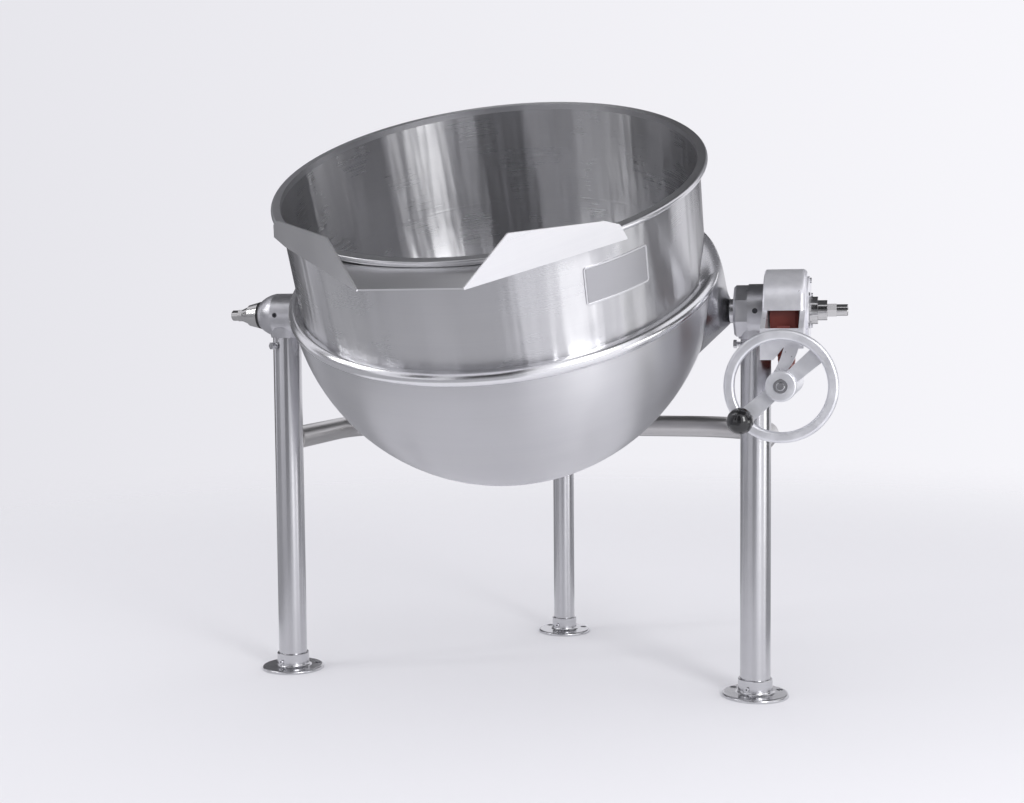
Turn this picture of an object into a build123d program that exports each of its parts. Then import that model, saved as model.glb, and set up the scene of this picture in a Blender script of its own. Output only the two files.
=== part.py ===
# Tilting steam jacketed kettle on a three leg stand, with a worm and sector tilting gear.
#
# Axes: +X to the gear side, +Y to the back, +Z up.
# Origin: on the floor, at the centre of the rear foot.
# The kettle is drawn tipped forward by rest_tilt from upright.

import os
from math import asin, atan2, cos, degrees, hypot, pi, radians, sin, sqrt, tan

from build123d import *

os.makedirs("parts", exist_ok=True)

# ---- Clearances ----
seat_gap = 0.1        # between fixed curved seats
free_gap = 0.3        # between pieces that move past each other
journal_gap = 0.05    # radial, shaft in bore

# ---- Stand ----
leg_spacing = 842.0
frame_depth = 401.0
trunnion_height = 648.0
front_leg_diameter = 50.8
rear_leg_diameter = 41.3
brace_diameter = 41.3
tube_wall = 3.0
brace_height = 422.0
brace_bend_radius = 165.0

# ---- Flanged feet ----
front_foot_diameter = 112.0
rear_foot_diameter = 103.0
foot_flange_thickness = 6.0
foot_collar_height = 30.0
foot_collar_wall = 3.4
foot_floor = 3.0
anchor_hole_diameter = 11.0
anchor_hole_inset = 11.0     # flange edge to hole centre
anchor_hole_count = 3
foot_edge_height = 2.5
foot_edge_round = 3.5
foot_root_round = 5.0
foot_screw_height = 16.0
foot_screw_turn = 22.0       # degrees left of straight forward
set_screw_diameter = 8.0
set_screw_head_height = 3.0

# ---- Kettle ----
rest_tilt = 26.29            # degrees forward of upright
bowl_offset = 25.0           # bowl axis in front of the trunnion axis
bowl_radius = 343.3          # outside of the inner shell
shell_wall = 2.5
dome_centre_height = 86.4    # centre of the round bottoms, above the trunnion axis
jacket_space = 12.4
jacket_wall = 3.0
jacket_edge_height = 67.0
ring_top_height = 86.0
ring_bulge = 21.5            # how far the ring stands out from the shell
ring_heel_drop = 2.0
rim_top_height = 269.4
rim_thickness = 10.0
rim_overhang = 12.9
rim_outer_round = 4.5
rim_inner_round = 3.0

# ---- Pouring lip ----
lip_reach = 440.0            # bowl axis to the front edge
lip_front_width = 152.0
lip_front_height = 268.0
lip_back_height = 250.0
lip_thickness = 2.5
lip_crest_run = 80.0         # front edge back to the highest point of a wing
lip_crest_height = 322.0
lip_shoulder_height = 288.0
lip_shoulder_run = 240.0
lip_end_height = 274.0
lip_end_run = 267.0
lip_wing_length = 278.0
left_wing_extra = 46.0

# ---- Trunnions and steam passages ----
saddle_end = 379.0           # kettle middle to the outer face of a saddle
trunnion_diameter = 40.0
steam_bore_diameter = 16.0
neck_bore_diameter = 24.0
trunnion_flange_inside = 12.0

# ---- Bearings ----
right_housing_inner = 387.0
right_housing_outer = 437.0
left_housing_inner = 386.0
left_housing_outer = 468.0
housing_radius = 44.5
left_housing_radius = 39.0
collar_length = 23.0
bush_wall = 5.0
bush_inset = 3.0
collar_corner = 1.5          # collar corners beyond the barrel
collar_chamfer = 4.0
left_dome_start = 438.0
left_dome_middle = (-456.0, 33.0)
plug_inset = 36.0            # housing face to grease plug
plug_recess = 1.2
plug_socket = 5.0
set_bolt_drop = 55.0         # trunnion axis down to the set bolt
set_bolt_diameter = 8.0
set_bolt_length = 14.0
set_bolt_bite = 5.0
set_bolt_head = 14.0
set_bolt_head_height = 5.5
neck_radius = 28.0
neck_skirt = 1.5             # neck below the barrel
neck_top_radius = 33.0
spigot_length = 40.0
grease_plug_diameter = 9.0
seal_thickness = 4.0
seal_radius = 24.5

# ---- Worm gear ----
gear_module = 3.0
gear_teeth = 68
worm_pitch_radius = 16.0
tooth_backlash = 0.6
pressure_angle = 20.0
tooth_addendum = 3.0
tooth_dedendum = 3.6
gear_middle = 472.0          # kettle middle to the gear's mid plane
gear_face = 20.0
sector_front = 72.0          # degrees forward of straight down
sector_back = 36.0
sector_rim_depth = 9.0
web_thickness = 12.0
hub_drum_radius = 50.0
hub_drum_inner = 447.5
hub_drum_outer = 493.0
gear_seat_diameter = 38.0
drum_chamfer = 5.0
web_front_rim = 64.0         # web edges in degrees from straight down, at the rim and at the hub
web_front_hub = 50.0
web_back_rim = 24.0
web_back_hub = 12.0
gear_collar_radius = 28.0
gear_collar_length = 8.0
key_width = 8.0
key_height = 7.0
key_length = 36.0
worm_length = 54.0
worm_shaft_diameter = 20.0

# ---- Gear case ----
case_inner = 437.0
case_outer = 505.0
case_radius = 68.0
case_wall = 7.0
cheek_thickness = 8.0
case_inner_round = 3.0
case_bore_gap = 2.0
case_notch_rise = 4.0
case_round = 8.0
case_drop = 40.0             # trunnion axis down to the lower edge of the inner cheek
guard_front = 113.0          # trunnion axis forward to the guard's face
guard_thickness = 6.0
guard_top = 28.0
guard_bottom = 78.0
guard_flare = 4.0            # how much lower the cheeks are at the guard
guard_notch = 54.0
guard_notch_run = 5.0        # gear mid plane to the notch corner
guard_foot_run = 14.0
arm_back = 95.0              # trunnion axis forward to the back of the arm
arm_inner_edge = ((3.0, 64.0), (-5.0, 38.0), (-22.0, 8.0))
arm_outer_edge = ((26.0, 64.0), (18.0, 40.0), (0.0, 16.0))
barrel_radius = 24.0
barrel_bore_radius = 20.0
barrel_front = 110.0
barrel_back = 66.0
worm_bush_wall = 3.0
worm_front_bush_length = 34.0
end_cap_flange = 6.0
end_cap_depth = 12.0
slot_clearance = 1.5
side_plate_radius = 56.0
side_plate_thickness = 4.0
side_screw_count = 6
side_screw_circle = 49.0
side_screw_head = 9.0
side_screw_diameter = 5.0
side_screw_depth = 8.0
side_screw_head_height = 2.5
side_opening_radius = 40.0
case_screw_count = 4
case_screw_circle = 34.0
case_screw_diameter = 8.0
case_screw_depth = 14.0
case_screw_head = 4.0
case_screw_grip = 13.0

# ---- Handwheel ----
wheel_diameter = 178.0
wheel_rim_width = 17.0
wheel_rim_depth = 14.0
wheel_plane = 138.0          # trunnion axis forward to the middle of the rim
wheel_hub_diameter = 49.0
wheel_hub_front = 146.0
wheel_hub_back = 117.0
wheel_bore_diameter = 18.0
spoke_angle = 41.4
spoke_root_width = 21.0
spoke_tip_width = 28.0
spoke_thickness = 7.0
spoke_plane = 128.5
knob_diameter = 42.0
knob_stud_diameter = 12.0
knob_neck = 3.0
knob_seat_radius = 10.0
stud_grip = 8.0              # stud past the middle of the ball
wheel_edge_round = 5.0
hub_edge_round = 3.0
wheel_key_width = 5.0
wheel_key_length = 20.0
hub_bolt_gap = 2.0
hub_bolt_radius = 4.0
hub_bolt_length = 22.0
hub_bolt_head_height = 5.0
hub_washer_thickness = 1.8
hub_bolt_head = 13.0
hub_washer_diameter = 22.0

# ---- Steam swivels ----
swivel_start = 509.5
swivel_body_diameter = 45.0
swivel_body_length = 12.5
gland_diameter = 33.0
gland_length = 15.0
nipple_hex = 21.0
nipple_hex_length = 15.0
nipple_diameter = 19.0
nipple_length = 18.0
nipple_bore = 12.0
nipple_collar_diameter = 26.0
nipple_collar_length = 4.0
left_swivel_start = 472.5
left_body_length = 20.0
left_gland_length = 13.0
left_nipple_hex_length = 8.0
left_nipple_length = 13.5
left_body_start = 48.0
left_body_end = 38.0
left_gland_start = 34.0
left_gland_end = 23.0
packing_length = 7.0

# ---- Nameplate ----
plate_length = 116.0
plate_height = 60.0
plate_thickness = 1.5
plate_corner = 5.0
plate_angle = 46.5           # round the shell from the front
plate_middle_height = 189.0

# ---- Planes ----
x_axis = Vector(1, 0, 0)
front_y = -frame_depth
half_spacing = leg_spacing / 2
tilt = radians(rest_tilt)
bowl_up = Vector(0, -sin(tilt), cos(tilt))
bowl_back = Vector(0, cos(tilt), sin(tilt))
trunnion_centre = Vector(0, front_y, trunnion_height)
bowl_origin = trunnion_centre - bowl_back * bowl_offset
bowl_section = Plane(origin=bowl_origin, x_dir=x_axis, z_dir=-bowl_back)
bowl_axis = Axis(bowl_origin, bowl_up)
trunnion_section = Plane(origin=trunnion_centre, x_dir=x_axis, z_dir=(0, -1, 0))
trunnion_axis = Axis(trunnion_centre, x_axis)


def across(x):
    """Plane across the trunnion axis at x, local x towards the back, local y up."""
    return Plane(origin=(x, front_y, trunnion_height), x_dir=(0, 1, 0), z_dir=x_axis)


def bowl_point(x, back, height):
    """Point in the bowl's own directions, measured from the bowl axis."""
    return bowl_origin + x_axis * x + bowl_back * back + bowl_up * height


def leg_plane(x, y, height):
    return Plane(origin=(x, y, height), x_dir=x_axis, z_dir=(0, 0, 1))


def save(builder, name):
    builder.part.label = name
    export_step(builder.part, f"parts/{name}.step")


# ---- Inner shell: straight wall and round bottom in one skin ----
shell_inside = bowl_radius - shell_wall
wall_top = rim_top_height - rim_thickness

with BuildPart() as inner_shell:
    with BuildSketch(bowl_section):
        with BuildLine():
            CenterArc((0, dome_centre_height), bowl_radius, -90, 90)
            Line((bowl_radius, dome_centre_height), (bowl_radius, wall_top))
            Line((bowl_radius, wall_top), (shell_inside, wall_top))
            Line((shell_inside, wall_top), (shell_inside, dome_centre_height))
            CenterArc((0, dome_centre_height), shell_inside, -90, 90)
            Line((0, dome_centre_height - shell_inside), (0, dome_centre_height - bowl_radius))
        make_face()
    revolve(axis=bowl_axis)
save(inner_shell, "inner_shell")

# ---- Rim: rounded bar welded round the top of the shell ----
rim_radius = bowl_radius + rim_overhang

with BuildPart() as rim_ring:
    with BuildSketch(bowl_section) as rim_profile:
        with BuildLine():
            Polyline(
                (shell_inside, wall_top),
                (rim_radius, wall_top),
                (rim_radius, rim_top_height),
                (shell_inside, rim_top_height),
                close=True,
            )
        make_face()
        rim_corners = rim_profile.vertices()
        inner_top = rim_corners.group_by(Axis.X)[0].sort_by(Axis.Z)[-1]
        fillet(rim_corners.group_by(Axis.X)[-1], rim_outer_round)
        fillet(inner_top, rim_inner_round)
    revolve(axis=bowl_axis)
save(rim_ring, "rim_ring")

# ---- Jacket: round outer bottom, open to the saddles' steam passages ----
jacket_inside = bowl_radius + jacket_space
jacket_radius = jacket_inside + jacket_wall
edge_angle = degrees(asin((dome_centre_height - jacket_edge_height) / jacket_radius))


def dome_point(radius):
    """Point of a round bottom on the cone where the jacket ends."""
    return (
        radius * cos(radians(edge_angle)),
        dome_centre_height - radius * sin(radians(edge_angle)),
    )


with BuildPart() as jacket:
    with BuildSketch(bowl_section):
        with BuildLine():
            CenterArc((0, dome_centre_height), jacket_radius, -90, 90 - edge_angle)
            Line(dome_point(jacket_radius), dome_point(jacket_inside))
            CenterArc((0, dome_centre_height), jacket_inside, -90, 90 - edge_angle)
            Line((0, dome_centre_height - jacket_inside), (0, dome_centre_height - jacket_radius))
        make_face()
    revolve(axis=bowl_axis)
    with BuildSketch(across(0)):
        Circle(neck_bore_diameter / 2)
    extrude(amount=saddle_end, both=True, mode=Mode.SUBTRACT)
save(jacket, "jacket")

# ---- Outside skin of the kettle, which seats the lip and the saddles ----
skin_radius = bowl_radius + seat_gap
skin_jacket = jacket_radius + seat_gap
skin_rim = rim_radius + seat_gap
skin_top = lip_crest_height + lip_thickness
ring_crest = (bowl_radius + ring_bulge, (ring_top_height + jacket_edge_height) / 2)

with BuildPart() as lip_envelope:
    with BuildSketch(bowl_section):
        with BuildLine():
            Polyline(
                (0, ring_top_height),
                (skin_radius, ring_top_height),
                (skin_radius, wall_top - seat_gap),
                (skin_rim, wall_top - seat_gap),
                (skin_rim, skin_top),
                (0, skin_top),
                close=True,
            )
        make_face()
    revolve(axis=bowl_axis)

with BuildPart() as saddle_envelope:
    with BuildSketch(bowl_section):
        with BuildLine():
            CenterArc((0, dome_centre_height), skin_jacket, -90, 90 - edge_angle)
            Polyline(
                dome_point(skin_jacket),
                (skin_radius, ring_top_height),
                (skin_radius, rim_top_height),
                (0, rim_top_height),
                (0, dome_centre_height - skin_jacket),
            )
        make_face()
    revolve(axis=bowl_axis)

# ---- Pouring lip: one sheet, a sloping floor and two upright wings ----
lip_half = lip_front_width / 2
corner_distance = hypot(lip_half, lip_reach)
wing_turn = asin(skin_rim / corner_distance) - atan2(lip_half, lip_reach)
floor_slope = (lip_front_height - lip_back_height) / (lip_wing_length * cos(wing_turn))
floor_back = lip_reach - lip_wing_length * cos(wing_turn)
floor_half = lip_half + lip_wing_length * sin(wing_turn)

with BuildPart() as pouring_lip:
    floor_plane = Plane(
        origin=bowl_point(0, -lip_reach, lip_front_height),
        x_dir=x_axis,
        z_dir=bowl_back * floor_slope + bowl_up,
    )
    floor_run = (lip_reach - floor_back) * sqrt(1 + floor_slope**2)
    with BuildSketch(floor_plane):
        with BuildLine():
            Polyline(
                (-lip_half, 0), (lip_half, 0), (floor_half, floor_run), (-floor_half, floor_run),
                close=True,
            )
        make_face()
    extrude(amount=-lip_thickness)
    for side, extra in ((1, 0.0), (-1, left_wing_extra)):
        wing_way = x_axis * (side * sin(wing_turn)) + bowl_back * cos(wing_turn)
        wing_out = x_axis * (side * cos(wing_turn)) - bowl_back * sin(wing_turn)
        wing_plane = Plane(origin=bowl_point(side * lip_half, -lip_reach, 0), x_dir=wing_way, z_dir=wing_out)
        rise = wing_plane.y_dir.dot(bowl_up)
        with BuildSketch(wing_plane):
            with BuildLine():
                Polyline(
                    (0, rise * (lip_front_height - lip_thickness)),
                    (0, rise * lip_front_height),
                    (lip_crest_run, rise * lip_crest_height),
                    (lip_shoulder_run + extra, rise * lip_shoulder_height),
                    (lip_end_run + extra, rise * lip_end_height),
                    (lip_wing_length + extra, rise * lip_back_height),
                    (lip_wing_length, rise * (lip_back_height - lip_thickness)),
                    close=True,
                )
            make_face()
        extrude(amount=lip_thickness)
    add(lip_envelope.part, mode=Mode.SUBTRACT)
save(pouring_lip, "pouring_lip")

# ---- Saddles: hooded bosses that carry the trunnions on the jacket ----
# Each station: distance from the kettle middle, height of its middle, half height, half width.
saddle_stations = (
    (296.0, 36.0, 122.0, 104.0),
    (322.0, 38.0, 111.0, 99.0),
    (344.0, 38.5, 90.5, 86.0),
    (357.0, 33.5, 73.5, 69.0),
    (366.0, 22.0, 54.0, 52.0),
    (372.0, 7.0, 34.0, 35.0),
    (saddle_end, 0.0, 20.5, 20.5),
)


def saddle_form(side, growth):
    """One saddle fitted to the kettle's skin, made larger all round by growth."""
    with BuildPart() as form:
        for x, middle, half_height, half_width in saddle_stations:
            station = Plane(
                origin=trunnion_centre + x_axis * (side * x) + bowl_up * middle,
                x_dir=bowl_back,
                z_dir=x_axis,
            )
            with BuildSketch(station):
                Ellipse(half_width + growth, half_height + growth)
        loft()
        add(saddle_envelope.part, mode=Mode.SUBTRACT)
    return form.part


for side, name in ((1, "right_saddle"), (-1, "left_saddle")):
    with BuildPart() as saddle:
        add(saddle_form(side, 0))
        with BuildSketch(across(0)):
            Circle(neck_bore_diameter / 2)
        extrude(amount=side * (saddle_end + 1), mode=Mode.SUBTRACT)
    save(saddle, name)

# ---- Closing ring: rolled shoulder between the shell wall and the jacket edge ----
with BuildPart() as jacket_ring:
    with BuildSketch(bowl_section):
        with BuildLine():
            ThreePointArc((skin_radius, ring_top_height), ring_crest, dome_point(jacket_radius))
            Line(dome_point(jacket_radius), dome_point(jacket_inside))
            Line(dome_point(jacket_inside), (skin_radius, ring_crest[1] - ring_heel_drop))
            Line((skin_radius, ring_crest[1] - ring_heel_drop), (skin_radius, ring_top_height))
        make_face()
    revolve(axis=bowl_axis)
    for side in (1, -1):
        add(saddle_form(side, seat_gap), mode=Mode.SUBTRACT)
save(jacket_ring, "jacket_ring")

# ---- Trunnions: hollow shafts, stepped for the bush, the gear and the swivel ----
trunnion_radius = trunnion_diameter / 2
steam_radius = steam_bore_diameter / 2
gear_seat_radius = gear_seat_diameter / 2
spout_radius = 17.0
spout_length = 8.0
key_seat_depth = key_height / 2
key_start = gear_middle - key_length / 2

with BuildPart() as right_trunnion:
    with BuildSketch(trunnion_section):
        with BuildLine():
            Polyline(
                (saddle_end - trunnion_flange_inside, steam_radius),
                (swivel_start + spout_length, steam_radius),
                (swivel_start + spout_length, spout_radius),
                (swivel_start, spout_radius),
                (swivel_start, gear_seat_radius - 1),
                (hub_drum_outer, gear_seat_radius - 1),
                (hub_drum_outer, gear_seat_radius),
                (hub_drum_inner, gear_seat_radius),
                (hub_drum_inner, trunnion_radius),
                (saddle_end, trunnion_radius),
                (saddle_end, neck_bore_diameter / 2 - seat_gap),
                (saddle_end - trunnion_flange_inside, neck_bore_diameter / 2 - seat_gap),
                close=True,
            )
        make_face()
    revolve(axis=trunnion_axis)
    with BuildSketch(across(key_start)):
        with Locations((0, gear_seat_radius)):
            Rectangle(key_width, 2 * key_seat_depth)
    extrude(amount=key_length, mode=Mode.SUBTRACT)
save(right_trunnion, "right_trunnion")

with BuildPart() as left_trunnion:
    with BuildSketch(trunnion_section):
        with BuildLine():
            Polyline(
                (-saddle_end + trunnion_flange_inside, steam_radius),
                (-left_swivel_start - spout_length, steam_radius),
                (-left_swivel_start - spout_length, spout_radius),
                (-left_swivel_start, spout_radius),
                (-left_swivel_start, trunnion_radius),
                (-saddle_end, trunnion_radius),
                (-saddle_end, neck_bore_diameter / 2 - seat_gap),
                (-saddle_end + trunnion_flange_inside, neck_bore_diameter / 2 - seat_gap),
                close=True,
            )
        make_face()
    revolve(axis=trunnion_axis)
save(left_trunnion, "left_trunnion")

# ---- Condensate tube: inside the jacket space, from the left trunnion to the lowest point ----
condensate_radius = jacket_space / 2 - free_gap
condensate_path_radius = bowl_radius + jacket_space / 2
condensate_turn = degrees(atan2(bowl_offset, bowl_radius))
tube_plane = Plane(
    origin=bowl_origin,
    x_dir=-x_axis * cos(radians(condensate_turn)) + bowl_back * sin(radians(condensate_turn)),
    z_dir=x_axis * sin(radians(condensate_turn)) + bowl_back * cos(radians(condensate_turn)),
)
tube_rise = tube_plane.y_dir.dot(bowl_up)
condensate_start = 17.0      # degrees below the dome centre
condensate_sweep = 66.0

with BuildPart() as condensate_tube:
    with BuildLine(tube_plane) as condensate_path:
        CenterArc(
            (0, tube_rise * dome_centre_height),
            condensate_path_radius,
            -tube_rise * condensate_start,
            -tube_rise * condensate_sweep,
        )
    with BuildSketch(condensate_path.line ^ 0):
        Circle(condensate_radius)
        Circle(condensate_radius - 1.2, mode=Mode.SUBTRACT)
    sweep()
save(condensate_tube, "condensate_tube")

# ---- Nameplate: thin bare plate curved to the shell ----
plate_turn = radians(plate_angle)
plate_out = x_axis * sin(plate_turn) - bowl_back * cos(plate_turn)
plate_plane = Plane(
    origin=bowl_point(0, 0, plate_middle_height), x_dir=plate_out.cross(bowl_up) * -1, z_dir=plate_out
)

with BuildPart() as nameplate:
    with BuildSketch(plate_plane):
        RectangleRounded(plate_length, plate_height, plate_corner)
    extrude(amount=bowl_radius + ring_bulge)
    with BuildSketch(Plane(origin=bowl_point(0, 0, 0), x_dir=x_axis, z_dir=bowl_up)):
        Circle(bowl_radius + seat_gap + plate_thickness)
        Circle(bowl_radius + seat_gap, mode=Mode.SUBTRACT)
    extrude(amount=rim_top_height, mode=Mode.INTERSECT)
save(nameplate, "nameplate")

# ---- Bearing housings: cast barrels on a short neck, with a spigot that plugs the leg ----
bush_bore = trunnion_radius + journal_gap
bush_radius = bush_bore + bush_wall
bush_seat = bush_radius + journal_gap
end_bore = trunnion_radius + free_gap
spigot_radius = front_leg_diameter / 2 - tube_wall - seat_gap
right_leg_top = trunnion_height - housing_radius - neck_skirt
left_leg_top = trunnion_height - left_housing_radius - neck_skirt
neck_top = trunnion_height - bush_seat + 2
set_bolt_height = trunnion_height - set_bolt_drop
right_plug_x = right_housing_inner + plug_inset
left_plug_x = -left_housing_inner - plug_inset - 6
right_bolt_way = Vector(-1, 0, 0)
left_bolt_way = Vector(-sin(radians(28)), -cos(radians(28)), 0)


def bolt_plane(x, way, height):
    """Plane at a front leg's axis that faces along a set bolt."""
    return Plane(origin=(x, front_y, height), z_dir=way)


with BuildPart() as right_bearing_housing:
    with BuildSketch(across(right_housing_inner)):
        RegularPolygon(housing_radius + collar_corner, 8, rotation=22.5)
    extrude(amount=collar_length)
    chamfer(right_bearing_housing.faces().sort_by(Axis.X)[0].edges(), collar_chamfer)
    with BuildSketch(across(right_housing_inner + collar_length)):
        Circle(housing_radius)
    extrude(amount=right_housing_outer - right_housing_inner - collar_length)
    with BuildSketch(leg_plane(half_spacing, front_y, right_leg_top)):
        Circle(neck_radius)
    with BuildSketch(leg_plane(half_spacing, front_y, neck_top)):
        Circle(neck_top_radius)
    loft()
    with BuildSketch(across(right_housing_outer)):
        Rectangle(4 * neck_radius, 4 * housing_radius)
    extrude(amount=neck_top_radius, mode=Mode.SUBTRACT)
    with BuildSketch(leg_plane(half_spacing, front_y, right_leg_top - spigot_length)):
        Circle(spigot_radius)
    extrude(amount=spigot_length)
    with BuildSketch(across(right_housing_inner)):
        Circle(bush_seat)
    extrude(amount=right_housing_outer - right_housing_inner, mode=Mode.SUBTRACT)
    with BuildSketch(Plane(origin=(right_plug_x, front_y, trunnion_height), x_dir=x_axis, z_dir=(0, -1, 0))):
        Circle(grease_plug_diameter / 2)
    extrude(amount=2 * housing_radius, mode=Mode.SUBTRACT)
    with BuildSketch(bolt_plane(half_spacing, right_bolt_way, set_bolt_height)):
        Circle(set_bolt_diameter / 2 + journal_gap)
    extrude(amount=front_leg_diameter, mode=Mode.SUBTRACT)
    with BuildSketch(across(right_housing_outer)):
        with PolarLocations(case_screw_circle, case_screw_count, start_angle=45):
            Circle(case_screw_diameter / 2 + journal_gap)
    extrude(amount=-case_screw_depth, mode=Mode.SUBTRACT)
save(right_bearing_housing, "right_bearing_housing")

with BuildPart() as left_bearing_housing:
    with BuildSketch(trunnion_section):
        with BuildLine():
            Polyline(
                (-left_housing_outer, seal_radius),
                (-left_housing_outer, end_bore),
                (-left_housing_outer + bush_inset, end_bore),
                (-left_housing_outer + bush_inset, bush_seat),
                (-left_housing_inner, bush_seat),
                (-left_housing_inner, left_housing_radius - 2),
                (-left_housing_inner - 2, left_housing_radius),
                (-left_dome_start, left_housing_radius),
            )
            ThreePointArc(
                (-left_dome_start, left_housing_radius), left_dome_middle, (-left_housing_outer, seal_radius)
            )
        make_face()
    revolve(axis=trunnion_axis)
    with BuildSketch(leg_plane(-half_spacing, front_y, left_leg_top)):
        Circle(neck_radius)
    with BuildSketch(leg_plane(-half_spacing, front_y, neck_top)):
        Circle(neck_top_radius)
    loft()
    with BuildSketch(leg_plane(-half_spacing, front_y, left_leg_top - spigot_length)):
        Circle(spigot_radius)
    extrude(amount=spigot_length)
    with BuildSketch(across(-left_housing_inner)):
        Circle(bush_seat)
    extrude(amount=-(left_housing_outer - left_housing_inner - bush_inset), mode=Mode.SUBTRACT)
    with BuildSketch(Plane(origin=(left_plug_x, front_y, trunnion_height), x_dir=x_axis, z_dir=(0, -1, 0))):
        Circle(grease_plug_diameter / 2)
    extrude(amount=2 * left_housing_radius, mode=Mode.SUBTRACT)
    with BuildSketch(bolt_plane(-half_spacing, left_bolt_way, set_bolt_height)):
        Circle(set_bolt_diameter / 2 + journal_gap)
    extrude(amount=front_leg_diameter, mode=Mode.SUBTRACT)
save(left_bearing_housing, "left_bearing_housing")

# ---- Bushes, seals and grease plugs of the two trunnion bearings ----
with BuildPart() as right_bush:
    with BuildSketch(across(right_housing_inner + bush_inset)):
        Circle(bush_radius)
        Circle(bush_bore, mode=Mode.SUBTRACT)
    extrude(amount=right_housing_outer - right_housing_inner - bush_inset)
save(right_bush, "right_bush")

with BuildPart() as left_bush:
    with BuildSketch(across(-left_housing_inner - bush_inset)):
        Circle(bush_radius)
        Circle(bush_bore, mode=Mode.SUBTRACT)
    extrude(amount=-(left_housing_outer - left_housing_inner - 2 * bush_inset))
save(left_bush, "left_bush")

for name, face, way in (
    ("right_shaft_seal", right_housing_inner + bush_inset, -1),
    ("left_shaft_seal", -left_housing_inner - bush_inset, 1),
):
    with BuildPart() as shaft_seal:
        with BuildSketch(across(face)):
            Circle(bush_radius)
            Circle(end_bore, mode=Mode.SUBTRACT)
        extrude(amount=way * bush_inset)
    save(shaft_seal, name)

with BuildPart() as left_end_seal:
    with BuildSketch(across(-left_housing_outer)):
        Circle(seal_radius)
        Circle(end_bore, mode=Mode.SUBTRACT)
    extrude(amount=-seal_thickness)
    chamfer(left_end_seal.faces().sort_by(Axis.X)[0].edges(), 0.8)
save(left_end_seal, "left_end_seal")

with BuildPart() as grease_plugs:
    for x, radius in ((right_plug_x, housing_radius), (left_plug_x, left_housing_radius)):
        plug_plane = Plane(
            origin=(x, front_y - bush_seat - 2, trunnion_height), x_dir=x_axis, z_dir=(0, -1, 0)
        )
        with BuildSketch(plug_plane):
            Circle(grease_plug_diameter / 2 - journal_gap)
        extrude(amount=radius - bush_seat - 2 - plug_recess)
        with BuildSketch(plug_plane.offset(radius - bush_seat - 2 - plug_recess)):
            RegularPolygon(plug_socket / 2, 6)
        extrude(amount=-plug_socket / 2, mode=Mode.SUBTRACT)
save(grease_plugs, "grease_plugs")

# ---- Legs: front tubes plugged by the housings, rear tube coped under the brace ----
front_leg_radius = front_leg_diameter / 2
rear_leg_radius = rear_leg_diameter / 2
brace_radius = brace_diameter / 2

for name, x, way, leg_top in (
    ("left_leg", -half_spacing, left_bolt_way, left_leg_top),
    ("right_leg", half_spacing, right_bolt_way, right_leg_top),
):
    with BuildPart() as front_leg:
        with BuildSketch(leg_plane(x, front_y, foot_floor)):
            Circle(front_leg_radius)
            Circle(front_leg_radius - tube_wall, mode=Mode.SUBTRACT)
        extrude(amount=leg_top - foot_floor)
        with BuildSketch(bolt_plane(x, way, set_bolt_height)):
            Circle(set_bolt_diameter / 2 + journal_gap)
        extrude(amount=front_leg_diameter, mode=Mode.SUBTRACT)
    save(front_leg, name)

with BuildPart() as rear_leg:
    with BuildSketch(leg_plane(0, 0, foot_floor)):
        Circle(rear_leg_radius)
        Circle(rear_leg_radius - tube_wall, mode=Mode.SUBTRACT)
    extrude(amount=brace_height - rear_leg_radius / 2 - foot_floor)
    with BuildSketch(Plane(origin=(0, 0, brace_height), x_dir=(0, 1, 0), z_dir=x_axis)):
        Circle(brace_radius + seat_gap)
    extrude(amount=rear_leg_diameter, both=True, mode=Mode.SUBTRACT)
save(rear_leg, "rear_leg")

with BuildPart() as leg_set_bolts:
    for x, way in ((-half_spacing, left_bolt_way), (half_spacing, right_bolt_way)):
        shank_plane = bolt_plane(x, way, set_bolt_height).offset(spigot_radius - set_bolt_bite)
        with BuildSketch(shank_plane):
            Circle(set_bolt_diameter / 2)
        extrude(amount=set_bolt_length)
        with BuildSketch(shank_plane.offset(set_bolt_length)):
            RegularPolygon(set_bolt_head / 2, 6)
        extrude(amount=set_bolt_head_height)
save(leg_set_bolts, "leg_set_bolts")

# ---- Brace: one bent tube, coped to the backs of the front legs ----
with BuildPart() as brace_tube:
    with BuildLine(Plane.XY.offset(brace_height)) as brace_path:
        FilletPolyline(
            (-half_spacing, front_y),
            (-half_spacing, 0),
            (half_spacing, 0),
            (half_spacing, front_y),
            radius=brace_bend_radius,
        )
    with BuildSketch(brace_path.line ^ 0):
        Circle(brace_radius)
        Circle(brace_radius - tube_wall, mode=Mode.SUBTRACT)
    sweep()
    for x in (-half_spacing, half_spacing):
        with BuildSketch(leg_plane(x, front_y, brace_height - brace_diameter)):
            Circle(front_leg_radius + seat_gap)
        extrude(amount=2 * brace_diameter, mode=Mode.SUBTRACT)
save(brace_tube, "brace_tube")

# ---- Feet: turned flanges with a collar, anchor holes and a set screw ----
foot_places = (
    ("left_foot", -half_spacing, front_y, front_leg_radius, front_foot_diameter / 2),
    ("right_foot", half_spacing, front_y, front_leg_radius, front_foot_diameter / 2),
    ("rear_foot", 0, 0, rear_leg_radius, rear_foot_diameter / 2),
)
foot_screw_way = Vector(-sin(radians(foot_screw_turn)), -cos(radians(foot_screw_turn)), 0)

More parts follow.
